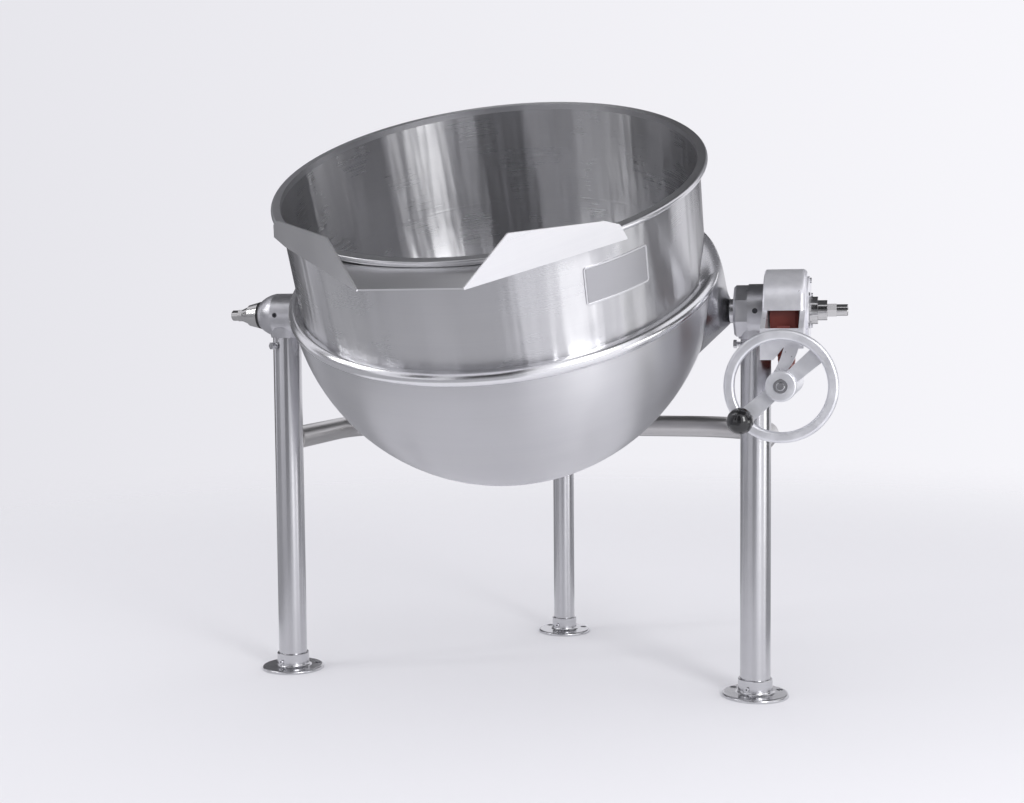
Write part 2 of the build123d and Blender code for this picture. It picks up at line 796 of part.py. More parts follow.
for name, x, y, tube_radius, flange_radius in foot_places:
    socket_radius = tube_radius + seat_gap
    collar_radius = socket_radius + foot_collar_wall
    with BuildPart() as foot:
        with BuildSketch(Plane(origin=(x, y, 0), x_dir=x_axis, z_dir=(0, -1, 0))):
            with BuildLine():
                Polyline(
                    (collar_radius, foot_flange_thickness + foot_root_round),
                    (collar_radius, foot_collar_height - 1),
                    (collar_radius - 1, foot_collar_height),
                    (socket_radius, foot_collar_height),
                    (socket_radius, foot_floor),
                    (0, foot_floor),
                    (0, 0),
                    (flange_radius, 0),
                    (flange_radius, foot_edge_height),
                )
                RadiusArc(
                    (flange_radius, foot_edge_height),
                    (flange_radius - foot_edge_round, foot_flange_thickness),
                    -foot_edge_round,
                )
                Line(
                    (flange_radius - foot_edge_round, foot_flange_thickness),
                    (collar_radius + foot_root_round, foot_flange_thickness),
                )
                RadiusArc(
                    (collar_radius + foot_root_round, foot_flange_thickness),
                    (collar_radius, foot_flange_thickness + foot_root_round),
                    foot_root_round,
                )
            make_face()
        revolve(axis=Axis((x, y, 0), (0, 0, 1)))
        with BuildSketch(leg_plane(x, y, 0)):
            with PolarLocations(flange_radius - anchor_hole_inset, anchor_hole_count, start_angle=30):
                Circle(anchor_hole_diameter / 2)
        extrude(amount=2 * foot_flange_thickness, mode=Mode.SUBTRACT)
        with BuildSketch(Plane(origin=(x, y, foot_screw_height), z_dir=foot_screw_way)):
            Circle(set_screw_diameter / 2 + journal_gap)
        extrude(amount=2 * collar_radius, mode=Mode.SUBTRACT)
    save(foot, name)

with BuildPart() as foot_set_screws:
    for name, x, y, tube_radius, flange_radius in foot_places:
        leg_axis_plane = Plane(origin=(x, y, foot_screw_height), z_dir=foot_screw_way)
        screw_plane = leg_axis_plane.offset(tube_radius + seat_gap)
        screw_length = foot_collar_wall + set_screw_head_height
        with BuildSketch(screw_plane):
            Circle(set_screw_diameter / 2)
        extrude(amount=screw_length)
        with BuildSketch(screw_plane.offset(screw_length)):
            RegularPolygon(set_screw_diameter / 4, 6)
        extrude(amount=-set_screw_head_height, mode=Mode.SUBTRACT)
save(foot_set_screws, "foot_set_screws")

# ---- Gear case: cast hood over the gear, two cheeks, a front guard and the worm barrel ----
worm_drop = gear_module * gear_teeth / 2 + worm_pitch_radius
worm_height = trunnion_height - worm_drop
worm_section = Plane(origin=(gear_middle, front_y, worm_height), x_dir=(0, 1, 0), z_dir=(1, 0, 0))
worm_axis = Axis((gear_middle, front_y, worm_height), (0, 1, 0))
worm_bush_bore = worm_shaft_diameter / 2 + journal_gap
worm_bush_radius = worm_bush_bore + worm_bush_wall
worm_bush_seat = worm_bush_radius + journal_gap
bush_back = barrel_front - worm_front_bush_length
tip_radius = gear_module * gear_teeth / 2 + tooth_addendum
root_radius = gear_module * gear_teeth / 2 - tooth_dedendum
hood_section = Plane(origin=trunnion_centre, x_dir=x_axis, z_dir=(0, 0, 1))


def facing(forward):
    """Upright plane across the depth, forward of the trunnion axis, local x right, local y up."""
    return Plane(origin=(0, front_y - forward, trunnion_height), x_dir=x_axis, z_dir=(0, -1, 0))


def case_plane(forward):
    """The same plane, with its origin on the gear's mid plane at worm height."""
    return Plane(origin=(gear_middle, front_y - forward, worm_height), x_dir=x_axis, z_dir=(0, -1, 0))


with BuildPart() as gear_case:
    with BuildSketch(hood_section) as hood_profile:
        with BuildLine():
            Polyline(
                (case_inner, trunnion_radius + case_bore_gap),
                (case_inner, case_radius),
                (case_outer, case_radius),
                (case_outer, side_opening_radius),
                (case_outer - cheek_thickness, side_opening_radius),
                (case_outer - cheek_thickness, case_radius - case_wall),
                (case_inner + cheek_thickness, case_radius - case_wall),
                (case_inner + cheek_thickness, trunnion_radius + case_bore_gap),
                close=True,
            )
        make_face()
        fillet(hood_profile.vertices().group_by(Axis.Y)[-1].sort_by(Axis.X)[-1], case_round)
        fillet(hood_profile.vertices().group_by(Axis.Y)[-1].sort_by(Axis.X)[0], case_inner_round)
    revolve(axis=trunnion_axis, revolution_arc=180)
    for x, lower, bore in (
        (case_inner, case_drop, trunnion_radius + case_bore_gap),
        (case_outer - cheek_thickness, side_plate_radius, side_opening_radius),
    ):
        with BuildSketch(across(x)):
            Circle(case_radius)
            with Locations((0, -lower / 2)):
                Rectangle(3 * case_radius, lower, mode=Mode.INTERSECT)
            with BuildLine():
                Polyline(
                    (-case_radius + case_wall, 0),
                    (-case_radius, 0),
                    (-guard_front, -guard_top),
                    (-guard_front, -min(guard_bottom, lower + guard_flare)),
                    (-guard_front + guard_thickness, -min(guard_bottom, lower + guard_flare)),
                    (-case_radius + case_wall, -lower),
                    close=True,
                )
            make_face()
            Circle(bore, mode=Mode.SUBTRACT)
        extrude(amount=cheek_thickness)
    with BuildSketch(facing(guard_front - guard_thickness)):
        with BuildLine():
            Polyline(
                (case_inner, -guard_top),
                (case_outer, -guard_top),
                (case_outer, -guard_notch),
                (gear_middle + guard_notch_run, -guard_notch),
                (gear_middle - guard_foot_run, -guard_bottom),
                (case_inner, -guard_bottom),
                close=True,
            )
        make_face()
    extrude(amount=guard_thickness)
    with BuildSketch(case_plane(arm_back)):
        with BuildLine():
            ThreePointArc(*arm_inner_edge)
            Line(arm_inner_edge[2], arm_outer_edge[2])
            ThreePointArc(*arm_outer_edge)
            Line(arm_outer_edge[0], arm_inner_edge[0])
        make_face()
    extrude(amount=guard_front - guard_thickness / 2 - arm_back)
    with BuildSketch(worm_section):
        with BuildLine():
            Polyline(
                (-barrel_front, worm_bush_seat),
                (-barrel_front, barrel_radius - 1),
                (-barrel_front + 1, barrel_radius),
                (barrel_back, barrel_radius),
                (barrel_back, barrel_bore_radius),
                (-bush_back, barrel_bore_radius),
                (-bush_back, worm_bush_seat),
                close=True,
            )
        make_face()
    revolve(axis=worm_axis)
    slot_half_run = sqrt((tip_radius + slot_clearance) ** 2 - (worm_drop - barrel_radius) ** 2)
    with BuildSketch(leg_plane(gear_middle, front_y, worm_height)):
        Rectangle(gear_face + 2 * slot_clearance, 2 * slot_half_run)
    extrude(amount=barrel_radius + 1, mode=Mode.SUBTRACT)
    with BuildSketch(leg_plane(half_spacing, front_y, right_leg_top - front_leg_diameter)):
        Circle(max(front_leg_radius, neck_radius) + free_gap)
    extrude(amount=front_leg_diameter + neck_skirt + case_notch_rise, mode=Mode.SUBTRACT)
    with BuildSketch(across(case_inner)):
        with PolarLocations(case_screw_circle, case_screw_count, start_angle=45):
            Circle(case_screw_diameter / 2 + journal_gap)
    extrude(amount=cheek_thickness, mode=Mode.SUBTRACT)
    with BuildSketch(across(case_outer)):
        with PolarLocations(side_screw_circle, side_screw_count, start_angle=30):
            Circle(side_screw_diameter / 2 + journal_gap)
    extrude(amount=-side_screw_depth, mode=Mode.SUBTRACT)
save(gear_case, "gear_case")

# ---- Case screws: countersunk, through the inner cheek into the bearing housing ----
case_screw_radius = case_screw_diameter / 2

with BuildPart() as case_screws:
    for spot in PolarLocations(case_screw_circle, case_screw_count, start_angle=45):
        spot_x = spot.position.X
        spot_y = spot.position.Y
        with BuildSketch(across(case_inner + cheek_thickness - case_screw_head)):
            with Locations((spot_x, spot_y)):
                Circle(case_screw_radius)
        extrude(amount=-(cheek_thickness - case_screw_head + case_screw_grip))
        with BuildSketch(across(case_inner + cheek_thickness)):
            with Locations((spot_x, spot_y)):
                Circle(case_screw_radius)
                RegularPolygon(plug_socket / 2, 6, mode=Mode.SUBTRACT)
        extrude(amount=-case_screw_head)
save(case_screws, "case_screws")

# ---- Side plate: closes the outer cheek round the trunnion ----
plate_bore = gear_seat_diameter / 2 - 1 + free_gap

with BuildPart() as side_plate:
    with BuildSketch(across(case_outer)):
        Circle(side_plate_radius)
        Circle(plate_bore, mode=Mode.SUBTRACT)
        with PolarLocations(side_screw_circle, side_screw_count, start_angle=30):
            Circle(side_screw_diameter / 2 + journal_gap, mode=Mode.SUBTRACT)
    extrude(amount=side_plate_thickness)
    chamfer(side_plate.faces().sort_by(Axis.X)[-1].outer_wire().edges(), 1)
save(side_plate, "side_plate")

with BuildPart() as side_plate_screws:
    for spot in PolarLocations(side_screw_circle, side_screw_count, start_angle=30):
        spot_x = spot.position.X
        spot_y = spot.position.Y
        with BuildSketch(across(case_outer - side_screw_depth)):
            with Locations((spot_x, spot_y)):
                Circle(side_screw_diameter / 2)
        extrude(amount=side_screw_depth + side_plate_thickness)
        with BuildSketch(across(case_outer + side_plate_thickness)):
            with Locations((spot_x, spot_y)):
                Circle(side_screw_head / 2)
                RegularPolygon(side_screw_diameter / 3, 6, mode=Mode.SUBTRACT)
        extrude(amount=side_screw_head_height)
save(side_plate_screws, "side_plate_screws")

# ---- Sector gear: drum hub, cut away web and a toothed rim, keyed on the right trunnion ----
tooth_pitch = 360 / gear_teeth
lead = pi * gear_module
lead_slope = lead / (2 * pi * worm_pitch_radius)
flank = tan(radians(pressure_angle))
pitch_radius = gear_module * gear_teeth / 2
tooth_half = (lead / 2 - tooth_backlash) / 2
front_tooth = int(sector_front / tooth_pitch - 0.5)
back_tooth = int(sector_back / tooth_pitch + 0.5)
skew = degrees(lead_slope * gear_face / 2 / pitch_radius)
rim_inside = root_radius - sector_rim_depth


def gear_point(radius, angle):
    """Point at angle degrees back from straight down, in a plane across the trunnion axis."""
    return (radius * sin(radians(angle)), -radius * cos(radians(angle)))


def tooth_outline(angle):
    """Corners of one straight flanked tooth."""
    run = Vector(cos(radians(angle)), sin(radians(angle)))
    rise = Vector(sin(radians(angle)), -cos(radians(angle)))
    root = root_radius - 1
    corners = []
    for radius, way in ((root, -1), (tip_radius, -1), (tip_radius, 1), (root, 1)):
        half = tooth_half - (radius - pitch_radius) * flank
        corner = rise * radius + run * (way * half)
        corners.append((corner.X, corner.Y))
    return corners


sector_start = -front_tooth * tooth_pitch - tooth_pitch
sector_end = back_tooth * tooth_pitch

with BuildPart() as sector_gear:
    with BuildSketch(across(hub_drum_inner)):
        Circle(hub_drum_radius)
    extrude(amount=hub_drum_outer - hub_drum_inner)
    chamfer(sector_gear.faces().sort_by(Axis.X)[-1].edges(), drum_chamfer)
    with BuildSketch(across(gear_middle - web_thickness / 2)):
        with BuildLine():
            web_front = gear_point(rim_inside + 1, -web_front_rim)
            web_back = gear_point(rim_inside + 1, web_back_rim)
            hub_front = gear_point(hub_drum_radius - 1, -web_front_hub)
            hub_back = gear_point(hub_drum_radius - 1, web_back_hub)
            Polyline((0, 0), hub_front, web_front)
            ThreePointArc(web_front, gear_point(rim_inside + 1, 0), web_back)
            Polyline(web_back, hub_back, (0, 0))
        make_face()
    extrude(amount=web_thickness)
    with BuildSketch(across(gear_middle - gear_face / 2)):
        with BuildLine():
            Line(gear_point(rim_inside, sector_start), gear_point(root_radius, sector_start))
            ThreePointArc(
                gear_point(root_radius, sector_start),
                gear_point(root_radius, 0),
                gear_point(root_radius, sector_end),
            )
            Line(gear_point(root_radius, sector_end), gear_point(rim_inside, sector_end))
            ThreePointArc(
                gear_point(rim_inside, sector_end),
                gear_point(rim_inside, 0),
                gear_point(rim_inside, sector_start),
            )
        make_face()
    extrude(amount=gear_face)
    for tooth in range(-front_tooth, back_tooth + 1):
        angle = (tooth - 0.5) * tooth_pitch
        for x, turn in ((gear_middle - gear_face / 2, -skew), (gear_middle + gear_face / 2, skew)):
            with BuildSketch(across(x)):
                with BuildLine():
                    Polyline(*tooth_outline(angle + turn), close=True)
                make_face()
        loft(ruled=True)
    with BuildSketch(across(hub_drum_inner)):
        Circle(gear_seat_diameter / 2 + seat_gap)
        with Locations((0, gear_seat_diameter / 2)):
            Rectangle(key_width + 2 * seat_gap, key_height + 2 * seat_gap)
    extrude(amount=hub_drum_outer - hub_drum_inner, mode=Mode.SUBTRACT)
save(sector_gear, "sector_gear")

with BuildPart() as gear_key:
    with BuildSketch(across(key_start + seat_gap)):
        with Locations((0, gear_seat_diameter / 2)):
            Rectangle(key_width - 2 * seat_gap, key_height)
    extrude(amount=key_length - 2 * seat_gap)
save(gear_key, "gear_key")

with BuildPart() as gear_collar:
    with BuildSketch(across(hub_drum_outer)):
        Circle(gear_collar_radius)
        Circle(gear_seat_diameter / 2 - 1 + journal_gap, mode=Mode.SUBTRACT)
    extrude(amount=gear_collar_length)
    chamfer(gear_collar.faces().sort_by(Axis.X)[-1].outer_wire().edges(), 1)
save(gear_collar, "gear_collar")

# ---- Worm shaft: one start worm cut on its shaft, with journals and the handwheel seat ----
worm_root = worm_pitch_radius - tooth_dedendum
worm_tip = worm_pitch_radius + tooth_addendum
worm_turns = 2 * int(worm_length / lead / 2 + 0.5)
thread_start = -worm_turns / 2 * lead
shaft_radius = worm_shaft_diameter / 2
wheel_seat_radius = wheel_bore_diameter / 2
worm_core_front = bush_back - free_gap
worm_core_back = barrel_back - end_cap_depth - free_gap
thread_root = worm_root - 0.5

with BuildPart() as worm_shaft:
    with BuildSketch(worm_section):
        with BuildLine():
            Polyline(
                (-wheel_hub_front + hub_bolt_gap, 0),
                (-wheel_hub_front + hub_bolt_gap, wheel_seat_radius),
                (-wheel_hub_back, wheel_seat_radius),
                (-wheel_hub_back, shaft_radius),
                (-worm_core_front, shaft_radius),
                (-worm_core_front, worm_root),
                (worm_core_back, worm_root),
                (worm_core_back, shaft_radius),
                (barrel_back + end_cap_flange - free_gap, shaft_radius),
                (barrel_back + end_cap_flange - free_gap, 0),
                close=True,
            )
        make_face()
    revolve(axis=worm_axis)
    with BuildLine() as thread_path:
        Helix(
            pitch=lead,
            height=worm_turns * lead,
            radius=thread_root,
            center=(gear_middle, front_y + thread_start, worm_height),
            direction=(0, 1, 0),
        )
    thread_section = Plane(
        origin=(gear_middle, front_y + thread_start, worm_height), x_dir=(0, 0, 1), z_dir=(1, 0, 0)
    )
    with BuildSketch(thread_section):
        with BuildLine():
            root_half = tooth_half + (worm_pitch_radius - thread_root) * flank
            tip_half = tooth_half - tooth_addendum * flank
            Polyline(
                (thread_root, -root_half),
                (worm_tip, -tip_half),
                (worm_tip, tip_half),
                (thread_root, root_half),
                close=True,
            )
        make_face()
    sweep(path=thread_path.line, is_frenet=True)
    with BuildSketch(facing(wheel_hub_front)):
        with Locations((gear_middle, -worm_drop)):
            Circle(hub_bolt_radius + journal_gap)
    extrude(amount=-hub_bolt_length, mode=Mode.SUBTRACT)
    with BuildSketch(facing(wheel_hub_front - hub_bolt_gap)):
        with Locations((gear_middle, -worm_drop + wheel_seat_radius)):
            Rectangle(wheel_key_width, wheel_key_width)
    extrude(amount=-wheel_key_length, mode=Mode.SUBTRACT)
save(worm_shaft, "worm_shaft")

with BuildPart() as worm_front_bush:
    with BuildSketch(case_plane(bush_back)):
        Circle(worm_bush_radius)
        Circle(worm_bush_bore, mode=Mode.SUBTRACT)
    extrude(amount=worm_front_bush_length)
save(worm_front_bush, "worm_front_bush")

with BuildPart() as worm_end_cap:
    with BuildSketch(case_plane(-barrel_back - end_cap_flange)):
        Circle(barrel_radius)
    extrude(amount=end_cap_flange)
    with BuildSketch(case_plane(-barrel_back)):
        Circle(barrel_bore_radius - seat_gap)
    extrude(amount=end_cap_depth)
    with BuildSketch(case_plane(-barrel_back - end_cap_flange)):
        Circle(worm_bush_bore)
    extrude(amount=end_cap_flange + end_cap_depth, mode=Mode.SUBTRACT)
    chamfer(worm_end_cap.faces().sort_by(Axis.Y)[-1].outer_wire().edges(), 1.5)
save(worm_end_cap, "worm_end_cap")

# ---- Handwheel: dished wheel with two flat spokes ----
wheel_radius = wheel_diameter / 2
wheel_inside = wheel_radius - wheel_rim_width
rim_middle_radius = wheel_radius - wheel_rim_width / 2
rim_back = wheel_plane - wheel_rim_depth / 2
rim_front = wheel_plane + wheel_rim_depth / 2

with BuildPart() as handwheel:
    with BuildSketch(case_plane(rim_back)):
        Circle(wheel_radius)
        Circle(wheel_inside, mode=Mode.SUBTRACT)
    extrude(amount=wheel_rim_depth)
    fillet(handwheel.edges().filter_by(GeomType.CIRCLE), wheel_edge_round)
    with BuildSketch(case_plane(spoke_plane - spoke_thickness / 2)):
        for turn in (spoke_angle, spoke_angle + 180):
            with Locations(Location((0, 0, 0), (0, 0, turn))):
                with BuildLine(mode=Mode.PRIVATE) as spoke_edge:
                    Polyline(
                        (0, -spoke_root_width / 2),
                        (rim_middle_radius, -spoke_tip_width / 2),
                        (rim_middle_radius, spoke_tip_width / 2),
                        (0, spoke_root_width / 2),
                        close=True,
                    )
                add(make_face(spoke_edge.edges(), mode=Mode.PRIVATE))
    extrude(amount=spoke_thickness)
    with BuildSketch(case_plane(wheel_hub_back)):
        Circle(wheel_hub_diameter / 2)
    extrude(amount=wheel_hub_front - wheel_hub_back)
    hub_front_edge = handwheel.faces().sort_by(Axis.Y)[0].outer_wire().edges()
    fillet(hub_front_edge, hub_edge_round)
    with BuildSketch(case_plane(wheel_hub_back)):
        Circle(wheel_seat_radius + journal_gap)
        with Locations((0, wheel_seat_radius)):
            Rectangle(wheel_key_width + 2 * seat_gap, wheel_key_width + 2 * seat_gap)
    extrude(amount=wheel_hub_front - wheel_hub_back, mode=Mode.SUBTRACT)
    with BuildSketch(case_plane(rim_back)):
        with PolarLocations(rim_middle_radius, 1, start_angle=spoke_angle + 180):
            Circle(knob_stud_diameter / 2 + journal_gap)
    extrude(amount=wheel_rim_depth, mode=Mode.SUBTRACT)
save(handwheel, "handwheel")

with BuildPart() as wheel_key:
    with BuildSketch(facing(wheel_hub_front - hub_bolt_gap)):
        with Locations((gear_middle, -worm_drop + wheel_seat_radius)):
            Rectangle(wheel_key_width - 2 * journal_gap, wheel_key_width - 2 * journal_gap)
    extrude(amount=-wheel_key_length + seat_gap)
save(wheel_key, "wheel_key")

with BuildPart() as hub_washer:
    with BuildSketch(case_plane(wheel_hub_front)):
        Circle(hub_washer_diameter / 2)
        Circle(hub_bolt_radius + seat_gap, mode=Mode.SUBTRACT)
    extrude(amount=hub_washer_thickness)
save(hub_washer, "hub_washer")

with BuildPart() as hub_bolt:
    with BuildSketch(case_plane(wheel_hub_front + hub_washer_thickness)):
        Circle(hub_bolt_radius)
    extrude(amount=-hub_bolt_length - hub_washer_thickness + 1)
    with BuildSketch(case_plane(wheel_hub_front + hub_washer_thickness)):
        Circle(hub_bolt_head / 2)
    extrude(amount=hub_bolt_head_height)
    chamfer(hub_bolt.faces().sort_by(Axis.Y)[0].edges(), 0.8)
    with BuildSketch(case_plane(wheel_hub_front + hub_washer_thickness + hub_bolt_head_height)):
        RegularPolygon(hub_bolt_radius, 6)
    extrude(amount=-hub_bolt_head_height / 2, mode=Mode.SUBTRACT)
save(hub_bolt, "hub_bolt")

# ---- Knob: ball turned with a flat, on a stud through the rim ----
knob_flat = sqrt((knob_diameter / 2) ** 2 - knob_seat_radius**2)
knob_x = gear_middle + rim_middle_radius * cos(radians(spoke_angle + 180))
knob_z = worm_height + rim_middle_radius * sin(radians(spoke_angle + 180))
knob_y = front_y - rim_front - knob_neck - knob_flat
knob_section = Plane(origin=(knob_x, knob_y, knob_z), x_dir=(0, 1, 0), z_dir=(1, 0, 0))
knob_axis = Axis((knob_x, knob_y, knob_z), (0, 1, 0))
stud_radius = knob_stud_diameter / 2

with BuildPart() as ball_knob:
    with BuildSketch(knob_section):
        with BuildLine():
            ball_front = (-knob_diameter / 2, 0)
            ball_side = (0, knob_diameter / 2)
            Polyline(
                ball_front,
                (-stud_grip, 0),
                (-stud_grip, stud_radius + journal_gap),
                (knob_flat, stud_radius + journal_gap),
                (knob_flat, knob_seat_radius),
            )
            ThreePointArc((knob_flat, knob_seat_radius), ball_side, ball_front)
        make_face()
    revolve(axis=knob_axis)
save(ball_knob, "ball_knob")

with BuildPart() as knob_stud:
    with BuildSketch(knob_section):
        with BuildLine():
            Polyline(
                (-stud_grip + seat_gap, 0),
                (-stud_grip + seat_gap, stud_radius),
                (knob_flat, stud_radius),
                (knob_flat, knob_seat_radius - 1),
                (knob_flat + knob_neck, knob_seat_radius - 1),
                (knob_flat + knob_neck, stud_radius),
                (knob_flat + knob_neck + wheel_rim_depth, stud_radius),
                (knob_flat + knob_neck + wheel_rim_depth, 0),
                close=True,
            )
        make_face()
    revolve(axis=knob_axis)
save(knob_stud, "knob_stud")

# ---- Steam swivels: body and gland on the trunnion, packing, and a nipple that turns free ----
collar_radius = nipple_collar_diameter / 2
cavity_radius = collar_radius + 2 * free_gap
nipple_radius = nipple_diameter / 2
gland_bore = nipple_radius + free_gap


def swivel(side, start, body, gland, hex_length, nipple_run, prefix):
    """Four pieces of one swivel; body and gland are length, first radius and last radius."""
    spout_end = start + spout_length
    body_end = start + body[0]
    gland_end = body_end + gland[0]
    packing_end = body_end + packing_length
    with BuildPart() as swivel_body:
        with BuildSketch(trunnion_section):
            with BuildLine():
                Polyline(
                    (side * (start + seat_gap), spout_radius + journal_gap),
                    (side * (start + seat_gap), body[1]),
                    (side * body_end, body[2]),
                    (side * body_end, cavity_radius),
                    (side * (spout_end + seat_gap), cavity_radius),
                    (side * (spout_end + seat_gap), spout_radius + journal_gap),
                    close=True,
                )
            make_face()
        revolve(axis=trunnion_axis)
    save(swivel_body, f"{prefix}_swivel_body")
    with BuildPart() as swivel_gland:
        with BuildSketch(trunnion_section):
            with BuildLine():
                Polyline(
                    (side * body_end, cavity_radius),
                    (side * body_end, gland[1]),
                    (side * gland_end, gland[2]),
                    (side * gland_end, gland_bore),
                    (side * packing_end, gland_bore),
                    (side * packing_end, cavity_radius),
                    close=True,
                )
            make_face()
        revolve(axis=trunnion_axis)
    save(swivel_gland, f"{prefix}_swivel_gland")
    with BuildPart() as packing:
        with BuildSketch(across(side * packing_end)):
            Circle(cavity_radius - seat_gap)
            Circle(gland_bore, mode=Mode.SUBTRACT)
        extrude(amount=-side * (packing_length - free_gap))
    save(packing, f"{prefix}_packing")
    with BuildPart() as nipple:
        with BuildSketch(trunnion_section):
            with BuildLine():
                Polyline(
                    (side * (body_end - nipple_collar_length), nipple_bore / 2),
                    (side * (body_end - nipple_collar_length), collar_radius),
                    (side * body_end, collar_radius),
                    (side * body_end, nipple_radius),
                    (side * (gland_end + hex_length + nipple_run - 1), nipple_radius),
                    (side * (gland_end + hex_length + nipple_run), nipple_radius - 1),
                    (side * (gland_end + hex_length + nipple_run), nipple_bore / 2),
                    close=True,
                )
            make_face()
        revolve(axis=trunnion_axis)
        with BuildSketch(across(side * (gland_end + free_gap))):
            RegularPolygon(nipple_hex / 2 / cos(pi / 6), 6)
            Circle(nipple_bore / 2, mode=Mode.SUBTRACT)
        extrude(amount=side * (hex_length - free_gap))
    save(nipple, f"{prefix}_nipple")


swivel(
    1,
    swivel_start,
    (swivel_body_length, swivel_body_diameter / 2, swivel_body_diameter / 2),
    (gland_length, gland_diameter / 2, gland_diameter / 2),
    nipple_hex_length,
    nipple_length,
    "right",
)
swivel(
    -1,
    left_swivel_start,
    (left_body_length, left_body_start / 2, left_body_end / 2),
    (left_gland_length, left_gland_start / 2, left_gland_end / 2),
    left_nipple_hex_length,
    left_nipple_length,
    "left",
)
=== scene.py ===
from math import atan2, cos, pi, radians, sin

import bmesh
import bpy
from mathutils import Matrix, Vector


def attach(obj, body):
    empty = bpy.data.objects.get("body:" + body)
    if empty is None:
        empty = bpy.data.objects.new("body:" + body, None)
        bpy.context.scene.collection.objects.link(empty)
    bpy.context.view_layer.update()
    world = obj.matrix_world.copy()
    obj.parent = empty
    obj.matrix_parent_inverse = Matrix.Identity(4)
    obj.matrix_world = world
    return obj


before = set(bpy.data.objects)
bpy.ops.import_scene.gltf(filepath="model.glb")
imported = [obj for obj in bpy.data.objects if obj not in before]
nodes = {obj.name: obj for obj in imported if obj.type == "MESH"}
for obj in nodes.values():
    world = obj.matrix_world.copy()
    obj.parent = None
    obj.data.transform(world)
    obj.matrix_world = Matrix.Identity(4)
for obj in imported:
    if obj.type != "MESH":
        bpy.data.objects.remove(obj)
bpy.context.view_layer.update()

# ---- Camera ----
# A long lens just above the trunnions, turned a little to the left so that it looks past the gear housing
# into the tilted bowl.
camera_data = bpy.data.cameras.new("camera")
camera_data.sensor_width = 36.0
camera_data.lens = 49.38
camera_data.clip_end = 100.0
camera = bpy.data.objects.new("camera", camera_data)
bpy.context.scene.collection.objects.link(camera)
camera_place = Vector((0.6307, -2.764, 0.6462))
camera_right = Vector((0.96633, 0.25718, -0.00902))
camera_up = Vector((-0.00726, 0.06232, 0.99803))
camera_forward = Vector((-0.25723, 0.96435, -0.06209))
camera.matrix_world = Matrix(
    (
        (camera_right.x, camera_up.x, -camera_forward.x, camera_place.x),
        (camera_right.y, camera_up.y, -camera_forward.y, camera_place.y),
        (camera_right.z, camera_up.z, -camera_forward.z, camera_place.z),
        (0.0, 0.0, 0.0, 1.0),
    )
)
bpy.context.scene.camera = camera
bpy.context.scene.view_settings.view_transform = "Standard"


# ---- Studio surroundings ----
# A pale lilac grey sweep that turns nearly white to the right. The eye, the steel and the floor's far edge
# all see the same sweep, and the room light for dull surfaces is a plain pale grey.
def feed(tree, source, socket):
    """Links one socket to another, or sets a socket to a plain value."""
    if isinstance(source, bpy.types.NodeSocket):
        tree.links.new(source, socket)
    else:
        socket.default_value = source


def number_step(tree, operation, *terms):
    """One sum on numbers, each given as a socket or a plain value."""
    step = tree.nodes.new("ShaderNodeMath")
    step.operation = operation
    for term, socket in zip(terms, step.inputs):
        feed(tree, term, socket)
    return step.outputs["Value"]


def vector_step(tree, operation, *terms):
    """One sum on vectors. A length and a dot product come out as a number."""
    step = tree.nodes.new("ShaderNodeVectorMath")
    step.operation = operation
    for term, socket in zip(terms, step.inputs):
        feed(tree, term, socket)
    return step.outputs["Value" if operation in ("LENGTH", "DOT_PRODUCT") else "Vector"]


def ramp(tree, source, start, end, low=0.0, high=1.0, eased=True):
    """Turns a run from start to end into one from low to high."""
    step = tree.nodes.new("ShaderNodeMapRange")
    if eased:
        step.interpolation_type = "SMOOTHSTEP"
    step.inputs["From Min"].default_value = start
    step.inputs["From Max"].default_value = end
    step.inputs["To Min"].default_value = low
    step.inputs["To Max"].default_value = high
    tree.links.new(source, step.inputs["Value"])
    return step.outputs["Result"]


def colour_between(tree, share, first, second):
    """Colour that goes from the first to the second as the share rises."""
    mix = tree.nodes.new("ShaderNodeMix")
    mix.data_type = "RGBA"
    feed(tree, share, mix.inputs["Factor"])
    feed(tree, first, mix.inputs["A"])
    feed(tree, second, mix.inputs["B"])
    return mix.outputs["Result"]


world = bpy.data.worlds.new("studio")
bpy.context.scene.world = world
world.use_nodes = True
world_tree = world.node_tree
world_tree.nodes.clear()
room_light = world_tree.nodes.new("ShaderNodeBackground")
room_light.inputs["Color"].default_value = (0.97, 0.97, 1.0, 1.0)
room_light.inputs["Strength"].default_value = 0.86
sweep_light = world_tree.nodes.new("ShaderNodeBackground")
direction = world_tree.nodes.new("ShaderNodeTexCoord").outputs["Generated"]
sweep_across = vector_step(world_tree, "DOT_PRODUCT", direction, (0.9663, 0.2572, 0.12))
sweep_end = 0.36
sweep_share = ramp(world_tree, sweep_across, -sweep_end, sweep_end, eased=False)
sweep_left, sweep_right = (0.79, 0.785, 0.83, 1.0), (0.93, 0.925, 0.965, 1.0)
sweep_colour = colour_between(world_tree, sweep_share, sweep_left, sweep_right)
world_tree.links.new(sweep_colour, sweep_light.inputs["Color"])
ray = world_tree.nodes.new("ShaderNodeLightPath").outputs
seen = number_step(world_tree, "MAXIMUM", ray["Is Camera Ray"], ray["Is Glossy Ray"])
seen_or_through = number_step(world_tree, "MAXIMUM", seen, ray["Is Transmission Ray"])
world_mix = world_tree.nodes.new("ShaderNodeMixShader")
world_tree.links.new(seen_or_through, world_mix.inputs["Fac"])
world_tree.links.new(room_light.outputs["Background"], world_mix.inputs[1])
world_tree.links.new(sweep_light.outputs["Background"], world_mix.inputs[2])
world_out = world_tree.nodes.new("ShaderNodeOutputWorld")
world_tree.links.new(world_mix.outputs["Shader"], world_out.inputs["Surface"])


